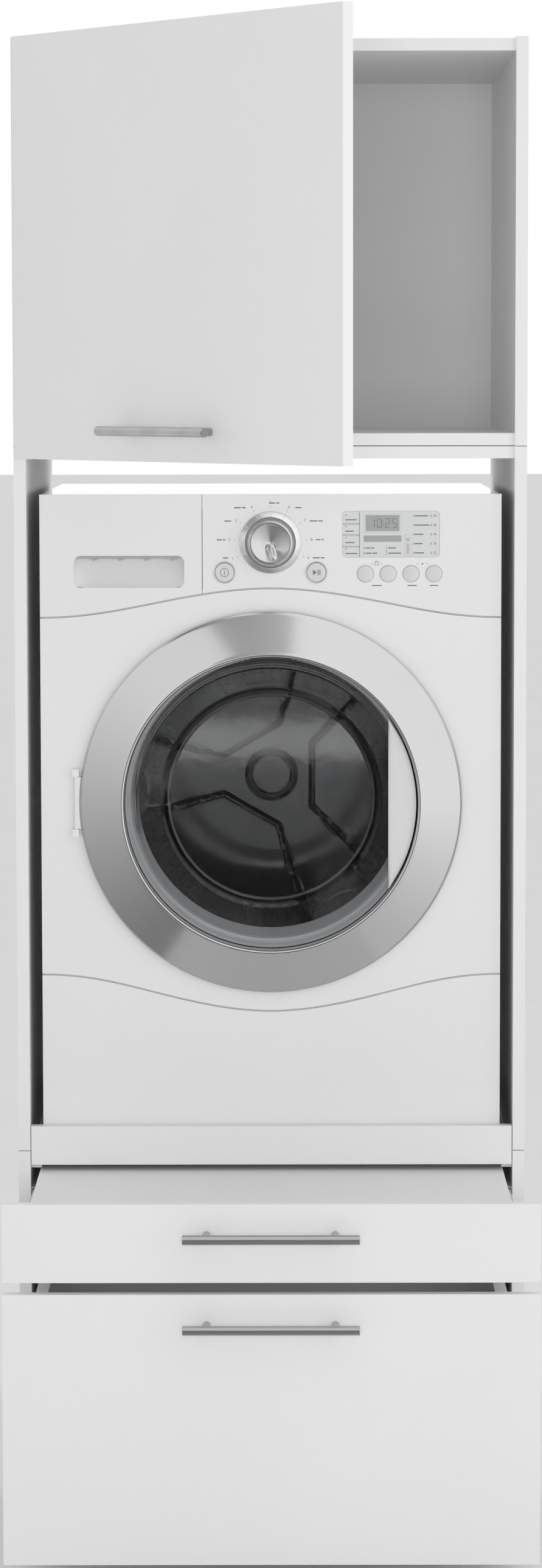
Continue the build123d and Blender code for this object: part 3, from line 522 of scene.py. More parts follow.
# %% Shape the knob
knob_low, knob_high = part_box("program_knob")
knob_radius = (knob_high.x - knob_low.x) / 2
knob_tip = knob_low.y
collar = face_y - 1 * MM
rings, turns = 72, 180
share = np.linspace(0, 1, rings)[:, None]
turn = np.linspace(0, 2 * pi, turns, endpoint=False)[None, :]
COLLAR_SHARE = 0.79
inside = np.clip(share / COLLAR_SHARE, 0, 1)
across, along = share * np.cos(turn), -share * np.sin(turn)
cone = 9 * MM * (1 - inside)
ridge = np.exp(-((across - 0.3 * along**2) / 0.11) ** 2) * step(along + 0.05, 0.35)
hollows = sum(np.exp(-(((across - side * 0.27) / 0.2) ** 2 + ((along - 0.34) / 0.26) ** 2))
              for side in (-1, 1))
face = knob_tip + 1.5 * MM + cone + (2.2 * MM * hollows - 3.5 * MM * ridge) * (1 - inside**6)
edge = np.clip((share - COLLAR_SHARE) / (1 - COLLAR_SHARE), 0, 1)
face = face - 1.4 * MM * np.sin(edge * pi) ** 0.7 + 1.6 * MM * edge**4
radius = (knob_radius - 1.2 * MM) * share + 0 * turn
points = np.stack([dial_x + radius * np.cos(turn), face, dial_z + radius * np.sin(turn)], axis=-1)
skirt_y = np.array([knob_tip + 4 * MM, collar - 3 * MM, collar])
skirt_r = np.array([knob_radius - 0.9 * MM, knob_radius - 0.4 * MM, knob_radius - 0.4 * MM])
skirt = np.stack([dial_x + skirt_r[:, None] * np.cos(turn), skirt_y[:, None] + 0 * turn,
                  dial_z + skirt_r[:, None] * np.sin(turn)], axis=-1)
centre_back = np.broadcast_to(np.array([dial_x, collar, dial_z]), (1, turns, 3))
points = np.concatenate([points, skirt, centre_back])
quads = grid_quads(len(points), turns, wrap_v=True)
knob = make_piece("turned_knob", points.reshape(-1, 3), quads, "program_knob", turned_steel, 50)
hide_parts("program_knob")
print("knob radius", round(knob_radius, 4))

# %% [markdown]
# ## The dial ring and its ticks
# Round the knob stands a conical silver ring with nine lit ticks, and outside it nine printed
# dots. Each tick is a small plate laid on the cone, turned to its own angle.

# %% Dial ring
ring_r_out, ring_r_in = 41.3 * MM, knob_radius + 1.6 * MM
RING_RISE, RING_LAND = 7.8 * MM, 1.5 * MM
bezel_outline = rounded([
    (face_y, ring_r_in), (face_y - RING_RISE, ring_r_in), (face_y - RING_RISE, ring_r_in + RING_LAND),
    (face_y - 2 * MM, ring_r_out - 0.3 * MM), (face_y, ring_r_out)], 0.8 * MM, steps=4)
dial_ring = lathe("dial_ring", bezel_outline, (dial_x, dial_z), "cabinet", bezel_silver, turns=160)
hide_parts("control_bezels")

TICKS = (0, 28, 57, 86, 113)
angles = sorted({sign * a for a in TICKS for sign in (-1, 1)})
slope = ring_r_out - ring_r_in - 1.8 * MM
points, quads = [], []
for number, angle in enumerate(angles):
    out = np.array([sin(radians(angle)), 0, cos(radians(angle))])
    side = np.array([cos(radians(angle)), 0, -sin(radians(angle))])
    for share in (0.12, 0.88):
        radius = ring_r_in + RING_LAND + slope * share
        depth = face_y - RING_RISE + 5.8 * MM * share
        for across in (-0.45 * MM, 0.45 * MM):
            for lift in (0.35 * MM, -0.4 * MM):
                spot = np.array([dial_x, depth - lift, dial_z]) + out * radius + side * across
                points.append(spot)
    corners = np.array([(0, 2, 6, 4), (1, 5, 7, 3), (0, 1, 3, 2), (4, 6, 7, 5), (0, 4, 5, 1),
                        (2, 3, 7, 6)])
    quads += (corners + 8 * number).tolist()
make_piece("dial_ticks", points, quads, "cabinet", tick_lit)
print("ticks:", len(angles))

# %% [markdown]
# ## Buttons
# The two main buttons sit in silver rims. Their marks are the usual bar in a circle and the
# triangle with two bars. The four small buttons are plain domes.

# %% Rims and marks of the main buttons


def button_rim(name, node):
    """A thin turned rim round a button, its crest halfway across."""
    low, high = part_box(node)
    x, _, z = middle(node)
    bore = (high.x - low.x) / 2 - 1.8 * MM + 0.15 * MM
    outline = rounded([(face_y, bore), (face_y - 1.6 * MM, bore + 0.2 * MM),
                       (face_y - 2.2 * MM, bore + 1.1 * MM), (face_y, bore + 2.3 * MM)], 0.5 * MM, 4)
    rim_piece = lathe(name, outline, (x, z), "cabinet", bezel_silver, turns=96)
    return x, z


power_x, power_z = button_rim("power_rim", "power_button")
start_x, start_z = button_rim("start_rim", "start_button")


INK_PROUD, INK_THICK = 0.1 * MM, 0.3 * MM


def mark_on(name, outlines, button):
    """A mark printed just proud of a button's cap; it rides the button."""
    prisms(name, outlines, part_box(button)[0].y - INK_PROUD, INK_THICK, button, print_grey)


mark_on("power_mark", [arc_band(power_x, power_z, 5.4 * MM, 0.7 * MM, 0, 180),
                       arc_band(power_x, power_z, 5.4 * MM, 0.7 * MM, 180, 360),
                       rectangle(power_x, power_z, 0.9 * MM, 5.6 * MM)], "power_button")
mark_on("start_mark", [[(start_x - 4.6 * MM, start_z - 3.6 * MM), (start_x + 0.6 * MM, start_z),
                        (start_x - 4.6 * MM, start_z + 3.6 * MM)],
                       rectangle(start_x + 2.2 * MM, start_z, 1.1 * MM, 7.2 * MM),
                       rectangle(start_x + 4.6 * MM, start_z, 1.1 * MM, 7.2 * MM)], "start_button")

# %% [markdown]
# ## Small print
# Labels on a control panel are printed. This panel shows no real words: a short grey dash stands
# for each, and only numbers are kept. Dashes and dots are thin plates a tenth of a millimetre
# proud, numbers are text turned into mesh.

# %% Panel prints
ink_y = face_y - INK_PROUD
dots = []
for angle in angles:
    spot = 47.5 * MM
    dots.append(disc(dial_x + spot * sin(radians(angle)), dial_z + spot * cos(radians(angle)),
                     0.55 * MM, 16))


def dash(left, z, length, height=1.5 * MM):
    """A word's stand-in: a bar that starts at left, centred on z."""
    return rectangle(left + length / 2, z, length, height)


def greeked(left, z, lengths, height=1.5 * MM, gap=1.3 * MM):
    """Several dashes in a row, as the words of a label."""
    row, x = [], left
    for length in lengths:
        row.append(dash(x, z, length, height))
        x += length + gap
    return row


def numbers(name, items, y, size, body, material):
    """Digits as flat mesh: each item is (text, x, z) about its middle. Text lies in XY, so its
    (x, y) becomes (x, z)."""
    points, faces = [], []
    for text, x, z in items:
        curve = bpy.data.curves.new(name, "FONT")
        curve.body = text
        curve.size = size
        curve.align_x = "CENTER"
        curve.align_y = "CENTER"
        curve.resolution_u = 4
        holder = bpy.data.objects.new(name, curve)
        flat = bpy.data.meshes.new_from_object(holder)
        start = len(points)
        points += [(x + v.co.x, y, z + v.co.y) for v in flat.vertices]
        faces += [[start + i for i in face.vertices] for face in flat.polygons]
        bpy.data.objects.remove(holder)
        bpy.data.curves.remove(curve)
        bpy.data.meshes.remove(flat)
    return make_piece(name, points, faces, body, material)


LABELS = {-113: (7, -1), -86: (11, -1), -57: (9, -1), -28: (15, -1), 0: (13, 0), 28: (8, 1),
          57: (17, 1), 86: (10, 1), 113: (15, 1)}
prints = list(dots)
for angle, (length, side) in LABELS.items():
    x = dial_x + 51 * MM * sin(radians(angle))
    z = dial_z + 52 * MM * cos(radians(angle))
    length = length * MM
    left = {-1: x - 9 * MM - length, 0: x - length / 2 + 5 * MM, 1: x + 9 * MM}[side]
    prints += greeked(left, z, (length * 0.6, length * 0.4 - 1 * MM) if length > 9 * MM else (length,))
digits = [(str(number + 1), dial_x + (51 * MM + 3.6 * MM * abs(sin(radians(a)))) * sin(radians(a)),
           dial_z + 53 * MM * cos(radians(a))) for number, a in enumerate(angles)]
print_piece = prisms("panel_print", prints, ink_y, INK_THICK, "cabinet", print_grey)
numbers("programme_numbers", digits, ink_y, 5.2 * MM, "cabinet", print_grey)
print("programmes:", len(digits))

# %% Prints round the small buttons
option_x = [float(middle(f"option_button_{n}")[0]) for n in (1, 2, 3, 4)]
option_z = float(middle("option_button_1")[2])
between_left, between_right = sum(option_x[:2]) / 2, sum(option_x[2:]) / 2
lock_z = option_z + 12.5 * MM
marks = [rectangle(between_left, lock_z - 1 * MM, 5.6 * MM, 0.5 * MM),
         rectangle(between_left, lock_z + 2.4 * MM, 5.6 * MM, 0.5 * MM),
         rectangle(between_left - 2.6 * MM, lock_z + 0.7 * MM, 0.5 * MM, 3.6 * MM),
         rectangle(between_left + 2.6 * MM, lock_z + 0.7 * MM, 0.5 * MM, 3.6 * MM),
         arc_band(between_left, lock_z + 2.8 * MM, 1.7 * MM, 0.5 * MM, 0, 180, 16)]
for x in (between_left, between_right):
    for side in (-1, 1):
        marks.append(rectangle(x + side * 6 * MM, lock_z + 0.6 * MM, 3 * MM, 0.35 * MM))
for turn in (-45, 0, 45, 90):
    a = radians(turn)
    half = np.array([cos(a), sin(a)]) * 1.3 * MM
    wide = np.array([-sin(a), cos(a)]) * 0.2 * MM
    hub_spot = np.array([between_right, lock_z + 0.6 * MM])
    marks.append([hub_spot - half - wide, hub_spot + half - wide, hub_spot + half + wide,
                  hub_spot - half + wide])
below = option_z - 15.5 * MM
for x, length in ((between_left, 13 * MM), (option_x[2] + 1.5 * MM, 12 * MM), (option_x[3], 11 * MM)):
    marks += greeked(x - length / 2, below, (length,), height=1.3 * MM)
prisms("button_print", marks, ink_y, INK_THICK, "cabinet", print_grey)
print("marks:", len(marks))

# %% [markdown]
# ## The display
# A tinted window covers four light fields on the left, a liquid-crystal panel, a progress bar and
# two columns of settings. Lines, frames, fields and marks are thin plates in a few greys.

# %% Display fields
glass_low_corner, glass_high_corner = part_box("display_window")
show_y = glass_low_corner.y - 0.05 * MM
left_edge, right_edge = glass_low_corner.x, glass_high_corner.x
bottom_edge, top_edge = glass_low_corner.z, glass_high_corner.z
split_x = left_edge + 22.3 * MM
height = top_edge - bottom_edge
cuts = [top_edge - height * part for part in (0.26, 0.51, 0.76)]

plates = [rectangle((left_edge + split_x) / 2, cut, split_x - left_edge, 0.45 * MM) for cut in cuts]
plates += [rectangle((left_edge + split_x) / 2, cut - 1.3 * MM, split_x - left_edge, 0.45 * MM)
           for cut in cuts]
plates.append(rectangle(split_x, (bottom_edge + top_edge) / 2, 0.8 * MM, height - 0.4 * MM))
prisms("display_lines", plates, show_y, 0.2 * MM, "cabinet", print_grey)

lcd_left, lcd_right = split_x + 8 * MM, split_x + 52.8 * MM
lcd_top = top_edge - 5 * MM
LCD_HALF = 10.6 * MM  # from the panel's top to its middle
LINE, FRAME_MARGIN = 0.4 * MM, 5 * MM
SETTING_TOP, SETTING_PITCH = 6, 12.2  # the settings' rows, in millimetres from the top edge
frame_lines = [
    rectangle((lcd_left + lcd_right) / 2, lcd_top + 1.5 * MM, lcd_right - lcd_left + FRAME_MARGIN, LINE),
    rectangle((lcd_left + lcd_right) / 2, lcd_top - 22.8 * MM, lcd_right - lcd_left + FRAME_MARGIN, LINE),
    rectangle(lcd_left - 2.3 * MM, lcd_top - LCD_HALF, LINE, 24.6 * MM),
    rectangle(lcd_right + 2.3 * MM, lcd_top - LCD_HALF, LINE, 24.6 * MM)]
pill_x = lcd_right + 11 * MM
pill = [rectangle(pill_x, bottom_edge + 1.6 * MM, 8 * MM, LINE),
        rectangle(pill_x, bottom_edge + 29 * MM, 8 * MM, LINE),
        rectangle(pill_x - 4 * MM, bottom_edge + 15.3 * MM, LINE, 27.4 * MM),
        rectangle(pill_x + 4 * MM, bottom_edge + 15.3 * MM, LINE, 27.4 * MM),
        rectangle(pill_x, bottom_edge + 11 * MM, 4 * MM, 14 * MM),
        rectangle(pill_x, bottom_edge + 23 * MM, 5 * MM, 4.5 * MM)]
prisms("display_outlines", frame_lines + pill, show_y, 0.2 * MM, "cabinet", print_pale)

screen = [rectangle((lcd_left + lcd_right) / 2, lcd_top - LCD_HALF, lcd_right - lcd_left, 21.3 * MM),
          rectangle((lcd_left + lcd_right) / 2, lcd_top - 31 * MM, lcd_right - lcd_left + FRAME_MARGIN,
                    8.4 * MM)]
prisms("display_screen", screen, show_y - 0.05 * MM, 0.25 * MM, "cabinet", lcd_dark)
print("display", round(right_edge - left_edge, 4), "by", round(height, 4))

# %% Digits and legends behind the window
SEGMENTS = {"0": "abcdef", "1": "bc", "2": "abged", "5": "afgcd"}


def seven_segments(text, x, z, height):
    """Bars a to g of each digit, laid out on a two-by-one box."""
    w, t = height / 2, height / 9
    bars = {"a": (0, 1, w, t), "d": (0, -1, w, t), "g": (0, 0, w, t), "f": (-1, 0.5, t, w),
            "b": (1, 0.5, t, w), "e": (-1, -0.5, t, w), "c": (1, -0.5, t, w)}
    outlines = []
    for k, digit in enumerate(text):
        for bar in SEGMENTS[digit]:
            dx, dz, width, tall = bars[bar]
            outlines.append(rectangle(x + k * height * 0.85 + dx * w / 2, z + dz * height / 2,
                                      width * 0.86, tall * 0.86))
    return outlines


clock = seven_segments("10", lcd_left + 9 * MM, lcd_top - LCD_HALF, 11 * MM)
clock += seven_segments("25", lcd_left + 29 * MM, lcd_top - LCD_HALF, 11 * MM)
clock += [rectangle(lcd_left + 23 * MM, lcd_top - (10.6 + side * 2.4) * MM, 1.1 * MM, 1.1 * MM)
          for side in (-1, 1)]
legend = []
for row in range(5):
    z = top_edge - (SETTING_TOP + SETTING_PITCH * row) * MM
    legend.append(rectangle(right_edge - 34 * MM, z, 0.9 * MM, 3 * MM))
    legend += greeked(right_edge - 32.5 * MM, z, ((17, 19, 11, 10, 12)[row] * MM,))
    legend.append(rectangle(right_edge - 11 * MM, z, 0.9 * MM, 3 * MM))
for row, z in enumerate(cuts + [bottom_edge]):
    legend.append(disc(left_edge + 4.4 * MM, z + 11 * MM, 0.8 * MM, 12))
    legend += greeked(left_edge + 3.6 * MM, z + 4.6 * MM, ((15, 11, 12, 16)[row] * MM,))
for row in (0, 1):
    z = bottom_edge + (5 + 7 * row) * MM
    legend.append(rectangle(lcd_left - 2 * MM, z, 0.9 * MM, 3 * MM))
    legend += greeked(lcd_left, z, ((8, 6)[row] * MM, (6, 4)[row] * MM))
    legend += greeked(lcd_left + 30 * MM, z, ((17, 10)[row] * MM,))
legend.append(rectangle(lcd_left + 27.6 * MM, bottom_edge + 8.5 * MM, 0.4 * MM, 13 * MM))
prisms("display_digits", clock + legend, show_y - 0.12 * MM, 0.2 * MM, "cabinet", lcd_print)
temperatures = [(text, right_edge - 6 * MM, top_edge - (SETTING_TOP + SETTING_PITCH * row) * MM)
                for row, text in enumerate(("90", "60", "40", "30"))]
numbers("display_temperatures", temperatures, show_y - 0.12 * MM, 4.2 * MM, "cabinet", lcd_print)
legend_ring = [arc_band(right_edge - 6 * MM, top_edge - 54.8 * MM, 1.8 * MM, 0.5 * MM,
                        start, start + 180, 14) for start in (0, 180)]
prisms("display_symbol", legend_ring, show_y - 0.12 * MM, 0.2 * MM, "cabinet", lcd_print)
print("legends:", len(legend))

# %% [markdown]
# ## Button caps
# The small buttons are pressed domes, so a finger feels their edge. A cap is a turned arc: low at
# the rim, higher in the middle.

# %% Turn the caps


def cap(name, node, dome):
    """A turned cap in place of a button: y = top + dome s^2.5, where s runs from the middle, 0, to
    the rim, 1. A flange behind the panel keeps it in."""
    low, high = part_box(node)
    x, _, z = middle(node)
    flange = (high.x - low.x) / 2
    rim_r = flange - 1.8 * MM
    top = low.y
    s = np.linspace(0, 1, 14)
    crown = np.stack([top + dome * s**2.5, rim_r * 0.93 * s + 0.01 * MM], 1)
    side = [(top + dome + 0.7 * MM, rim_r - 0.15 * MM), (top + dome + 1.4 * MM, rim_r - 0.05 * MM),
            (high.y - 2.2 * MM, rim_r - 0.05 * MM), (high.y - 2.1 * MM, flange - 0.1 * MM),
            (high.y - 0.2 * MM, flange - 0.1 * MM), (high.y - 0.2 * MM, 0.01 * MM)]
    piece = lathe(name, np.concatenate([crown, side]), (x, z), node, button_grey, turns=72, smooth=45)
    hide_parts(node)


for number in (1, 2, 3, 4):
    cap(f"option_cap_{number}", f"option_button_{number}", 1.6 * MM)
cap("power_cap", "power_button", 0.5 * MM)
cap("start_cap", "start_button", 0.5 * MM)
print("caps: 6")

# %% [markdown]
# ## The waves and the detergent grip
# Two soft grooves cross the machine like a wave. A grey strip lies in each; its grey is painted shade
# in the groove. The grip of the detergent drawer is a scoop: deep under its top lip, running out
# smoothly at the bottom, with small saw-tooth ribs that fingers hook on.

# %% Groove strips
fascia_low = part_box("control_fascia")[0].z
kick_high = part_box("kick_panel")[1].z
panel_low = min(v.co.z for v in nodes["machine_front"].data.vertices
                if abs(v.co.x) < 3 * MM and v.co.y < face_y + 2 * MM)
panel_high = max(v.co.z for v in nodes["machine_front"].data.vertices
                 if abs(v.co.x) < 3 * MM and v.co.y < face_y + 2 * MM)
half_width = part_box("machine_cover")[1].x - 1.2 * MM
GROOVE = 2.4 * MM


def wave_height(x, end, bulge):
    """A cubic through the ends, the half-way points at half the bulge, and the middle."""
    s = np.abs(x) / (half_width + 1.2 * MM)
    return end + bulge * (1 - s * s * (3 - 2 * s))


def groove_strip(name, end, bulge):
    """A ribbon along the wave, round in section: u runs along, v across its half circle."""
    x = np.linspace(-half_width, half_width, 120)[:, None]
    v = np.linspace(-pi / 2, pi / 2, 9)[None, :]
    z = wave_height(x, end, bulge) + 0.62 * GROOVE * np.sin(v)
    y = face_y + 2.0 * MM - 0.9 * MM * np.cos(v) + 0 * x
    points = np.stack([x + 0 * v, y, z], axis=-1).reshape(-1, 3)
    return make_piece(name, points, grid_quads(120, 9), "cabinet", groove_shade_grey, smooth=60)


# Each strip's grey is painted shade in its groove.
upper = groove_strip("upper_groove", fascia_low - GROOVE / 2, panel_high - fascia_low + GROOVE)
lower = groove_strip("lower_groove", kick_high + GROOVE / 2, panel_low - kick_high - GROOVE)
for strip in (upper, lower):
    thicken(strip, 1.2 * MM)
print("waves:", round(fascia_low, 4), round(panel_high, 4), round(kick_high, 4), round(panel_low, 4))

# %% Scoop of the grip
drawer_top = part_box("detergent_drawer")[1].z
GRIP_LEFT, GRIP_RIGHT = port_x - 260 * MM, port_x - 114 * MM
grip_top = drawer_top - 81 * MM
grip_bottom = grip_top - 42 * MM
scoop_depth = 24 * MM
u = np.linspace(-1, 1, 81)[:, None]
v = np.linspace(0, 1, 41)[None, :]
mid_x, half_x = (GRIP_LEFT + GRIP_RIGHT) / 2, (GRIP_RIGHT - GRIP_LEFT) / 2 + 0.6 * MM
ends = (1 - np.abs(u) ** 9) ** 0.45
low_edge = grip_bottom - 0.6 * MM + 7 * MM * (1 - (1 - np.abs(u) ** 9) ** 0.5)
z = low_edge + (grip_top + 0.4 * MM - low_edge) * v
y = face_y + 0.2 * MM + scoop_depth * ends * np.sin(v * pi / 2) ** 0.85
points = np.stack([mid_x + half_x * u + 0 * v, y, z], axis=-1).reshape(-1, 3)
scoop = make_piece("grip_scoop", points, grid_quads(81, 41), "detergent_drawer", satin_white, 60)

# %% Saw-tooth ribs and lip
# The ribs and the lip below take the grey with painted shade, standing for the shade under the grip's top
# lip.
teeth, faces = [], []
tooth = (GRIP_RIGHT - GRIP_LEFT - 8 * MM) / 4
for number in range(4):
    x0 = GRIP_LEFT + 4 * MM + tooth * number
    start = len(teeth)
    for x, drop in ((x0, 0.3), (x0 + 0.55 * tooth, 1.6), (x0 + 0.62 * tooth, 4.2), (x0 + 0.98 * tooth, 0.4)):
        for depth in (2.2, 15):
            teeth.append((x, face_y + depth * MM, grip_top - 2.4 * MM))
            teeth.append((x, face_y + depth * MM, grip_top - 2.4 * MM - drop * MM))
    for k in range(3):
        a, b = start + 4 * k, start + 4 * k + 4
        faces += [(a, b, b + 1, a + 1), (a + 2, a + 3, b + 3, b + 2), (a + 1, b + 1, b + 3, a + 3),
                  (a, a + 2, b + 2, b)]
    faces += [(start, start + 1, start + 3, start + 2), (start + 12, start + 14, start + 15, start + 13)]
ribs = make_piece("grip_ribs", teeth, faces, "detergent_drawer", shaded_lip_grey)

v = np.linspace(0, 2 * pi, 16, endpoint=False)[None, :]
x = np.linspace(GRIP_LEFT + 1 * MM, GRIP_RIGHT - 1 * MM, 60)[:, None]
fade = (1 - np.abs((x - mid_x) / half_x) ** 12) ** 0.5
points = np.stack([x + 0 * v, face_y + 3.2 * MM + 2.6 * MM * fade * np.cos(v),
                   grip_top - 1.6 * MM + 2.0 * MM * fade * np.sin(v)], axis=-1).reshape(-1, 3)
lip = make_piece("grip_lip", points, grid_quads(60, 16, wrap_v=True), "detergent_drawer", shaded_lip_grey, 60)
print("grip", round(GRIP_RIGHT - GRIP_LEFT, 4), "wide, scoop", scoop_depth, "deep")

# %% [markdown]
# ## Behind the porthole glass
# The door's inner frame is a grey ring that clamps the glass; its grey also stands for light that the glass
# flange reflects, a painted reflection. Its cone is widest at the bottom, so that painted band is widest
# there:
# the reach inwards is 0.3 + 0.7 ((1 - sin a) / 2)^0.8 of the full one.

# %% Inner frame
reach_in = np.array([1, 11, 21.5, 20, 9, 0.5])[:, None] * MM
set_back = np.array([7, 8, 30, 32, 11, 9.5])[:, None] * MM
turn = np.linspace(0, 2 * pi, 144, endpoint=False)[None, :]
lower_share = 0.3 + 0.7 * ((1 - np.sin(turn)) / 2) ** 0.8
r = ring_bore - reach_in * lower_share
points = np.stack([port_x + r * np.cos(turn), flange_y + set_back + 0 * turn,
                   port_z + r * np.sin(turn)], axis=-1).reshape(-1, 3)
inner_frame = make_piece("door_inner_frame", points, grid_quads(6, 144, wrap_u=True, wrap_v=True),
                         "porthole_door", frame_and_reflection_grey, smooth=50)
print("inner frame faces", len(inner_frame.data.polygons))

# %% [markdown]
# ## The crescent grip
# The grip fills the right side of the glass. Its face is slightly crowned, so light runs along its
# edge and dies away towards the straight side, where fingers reach behind it.

# %% Shape the crescent
crescent_low, crescent_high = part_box("porthole_grip")
chord = crescent_low.x
round_edge = crescent_high.x - port_x - 0.3 * MM
U, V = 30, 90
u = np.linspace(0, 1, U)[:, None]
reach_z = np.sqrt(round_edge**2 - (chord - port_x + 0.6 * MM) ** 2)
v = np.linspace(-1, 1, V)[None, :]
z_line = reach_z * v
arc_x = np.sqrt(np.maximum(round_edge**2 - z_line**2, 0))
x = (chord - port_x + 0.5 * MM) + (arc_x - (chord - port_x + 0.5 * MM)) * u
crown = 2.6 * MM * (np.abs(2 * u - 1) ** 3) * step(arc_x - (chord - port_x), 8 * MM)
front = crescent_low.y + 0.4 * MM + crown + 1.5 * MM * (1 - u)
rim_back = crescent_high.y - 1 * MM
face_points = np.stack([port_x + x, front + 0 * x, port_z + z_line + 0 * x], axis=-1)
left_skirt = face_points[:1].copy()
left_skirt[..., 1] = rim_back
right_skirt = face_points[-1:].copy()
right_skirt[..., 1] = rim_back
sheet_points = np.concatenate([left_skirt, face_points, right_skirt])
crescent = make_piece("crescent_grip", sheet_points.reshape(-1, 3), grid_quads(U + 2, V),
                      "porthole_door", grip_white, smooth=40)
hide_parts("porthole_grip")
print("crescent", round(2 * reach_z, 4), "tall")

# %% [markdown]
# ## The machine's back
# Nobody sees the back in use, but a good model holds from all sides. A service cover is pressed
# from thin sheet, held by screws; beside it are air slots, two threaded water inlets and the
# barbed spigot of the drain.

# %% Service cover
panel_box_low, panel_box_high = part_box("machine_back_panel")
panel_rear = panel_box_high.y
cover_x, cover_z = port_x, (panel_box_low.z + panel_box_high.z) / 2 - 40 * MM
COVER_WIDE, COVER_TALL, COVER_RISE = 400 * MM, 420 * MM, 5 * MM


def cover_rise(x, z):
    """How far the sheet stands out: a plateau with 30 mm corners and soft flanks, and three
    stiffening beads across it."""
    corner = 30 * MM
    dx = np.maximum(np.abs(x) - COVER_WIDE / 2 + corner, 0)
    dz = np.maximum(np.abs(z) - COVER_TALL / 2 + corner, 0)
    inside = corner - np.hypot(dx, dz)
    beads = sum(np.exp(-((z - offset) / (7 * MM)) ** 2) for offset in (-120 * MM, 0, 120 * MM))
    beads = beads * step(COVER_WIDE / 2 - 55 * MM - np.abs(x), 18 * MM)
    return COVER_RISE * step(inside, 8 * MM) + 2.5 * MM * beads


x = np.linspace(-COVER_WIDE / 2 - 4 * MM, COVER_WIDE / 2 + 4 * MM, 110)[:, None]
z = np.linspace(-COVER_TALL / 2 - 4 * MM, COVER_TALL / 2 + 4 * MM, 120)[None, :]
points = np.stack([cover_x + x + 0 * z, panel_rear - 0.6 * MM + cover_rise(x, z),
                   cover_z + z + 0 * x], axis=-1).reshape(-1, 3)
service_cover = make_piece("service_cover", points, grid_quads(110, 120), "cabinet", epoxy_steel, 50)
thicken(service_cover, 0.7 * MM)
print("service cover faces", len(service_cover.data.polygons))

# %% Screws, inlets and drain


def lathes(name, outline, spots, body, material, turns=24):
    """The same turned shape at several (x, z) places, as one mesh."""
    outline = np.asarray(outline, float)
    angle = np.linspace(0, 2 * pi, turns, endpoint=False)
    points, quads = [], []
    for number, (x, z) in enumerate(spots):
        r = outline[:, 1][:, None]
        points.append(np.stack([x + r * np.cos(angle), outline[:, 0][:, None] + 0 * angle,
                                z + r * np.sin(angle)], axis=-1).reshape(-1, 3))
        quads.append(grid_quads(len(outline), turns, wrap_v=True) + number * len(outline) * turns)
    return make_piece(name, np.concatenate(points), np.concatenate(quads), body, material)


def screw_outline(seat, towards, radius=4.2 * MM):
    """A pan-head screw seen in section: a domed head with a small round recess."""
    return [(seat, radius), (seat + towards * 0.9 * MM, radius), (seat + towards * 2.0 * MM, 0.72 * radius),
            (seat + towards * 2.4 * MM, 0.36 * radius), (seat + towards * 1.1 * MM, 0.3 * radius),
            (seat + towards * 1.1 * MM, 0.01 * MM)]


cover_screws = [(cover_x + sx * (COVER_WIDE / 2 - 16 * MM), cover_z + sz * (COVER_TALL / 2 - 16 * MM))
                for sx in (-1, 0, 1) for sz in (-1, 1)]
cover_screws += [(cover_x + sx * (COVER_WIDE / 2 - 16 * MM), cover_z) for sx in (-1, 1)]
lathes("cover_screws", screw_outline(panel_rear + COVER_RISE - 1 * MM, 1), cover_screws, "cabinet", nickel)
edge_x = (panel_box_high.x - panel_box_low.x) / 2 - 12 * MM
panel_screws = [(cover_x + sx * edge_x, z) for sx in (-1, 1)
                for z in np.linspace(panel_box_low.z + 30 * MM, panel_box_high.z - 30 * MM, 5)]
lathes("panel_screws", screw_outline(panel_rear - 0.3 * MM, 1), panel_screws, "cabinet", nickel)

thread = [(panel_rear - 0.5 * MM, 17 * MM), (panel_rear + 3 * MM, 17 * MM), (panel_rear + 3.5 * MM, 12 * MM)]
for k in range(6):
    thread += [(panel_rear + (5 + 2.2 * k) * MM, 13.1 * MM), (panel_rear + (6.1 + 2.2 * k) * MM, 11.9 * MM)]
thread += [(panel_rear + 18.5 * MM, 11.5 * MM), (panel_rear + 18.5 * MM, 8.5 * MM),
           (panel_rear + 4 * MM, 8 * MM), (panel_rear + 4 * MM, 0.01 * MM)]
inlet_z = panel_box_high.z - 60 * MM
lathes("water_inlets", thread, [(cover_x + 150 * MM, inlet_z), (cover_x + 205 * MM, inlet_z)],
       "cabinet", satin_white, turns=48)
spigot = [(panel_rear - 0.5 * MM, 19 * MM), (panel_rear + 2.5 * MM, 19 * MM), (panel_rear + 3 * MM, 11 * MM)]
for k in range(3):
    spigot += [(panel_rear + (6 + 5 * k) * MM, 12.4 * MM), (panel_rear + (10 + 5 * k) * MM, 10.6 * MM)]
spigot += [(panel_rear + 22 * MM, 8 * MM), (panel_rear + 5 * MM, 7.6 * MM), (panel_rear + 5 * MM, 0.01 * MM)]
lathes("drain_spigot", spigot, [(cover_x - 190 * MM, panel_box_low.z + 110 * MM)], "cabinet", glide_grey, 48)
print("screws:", len(cover_screws) + len(panel_screws))

# %% Air slots
slots, faces = [], []
u = np.linspace(-1, 1, 25)[:, None]
v = np.linspace(0, 1, 9)[None, :]
for row in range(7):
    base_z = inlet_z + 24 * MM - 9 * MM * row
    rise = 4 * MM * np.sqrt(np.clip(1 - np.abs(u) ** 6, 0, 1)) * np.sin(v * pi / 2) + 0 * u
    grid = np.stack([cover_x - 150 * MM + 55 * MM * u + 0 * v, panel_rear - 0.4 * MM + rise,
                     base_z + 5 * MM * (1 - v) + 0 * u], axis=-1)
    faces.append(grid_quads(25, 9) + len(slots) * 25 * 9)
    slots.append(grid.reshape(-1, 3))
make_piece("air_louvres", np.concatenate(slots), np.concatenate(faces), "cabinet", galvanised, 50)
print("louvres:", len(slots))

# %% [markdown]
# ## Where the boards meet
# The tower is three boxes stacked on each other, so a hairline shows on the sides' front edges
# where one box ends. Each is drawn as a thin dark plate that lies on the joint.

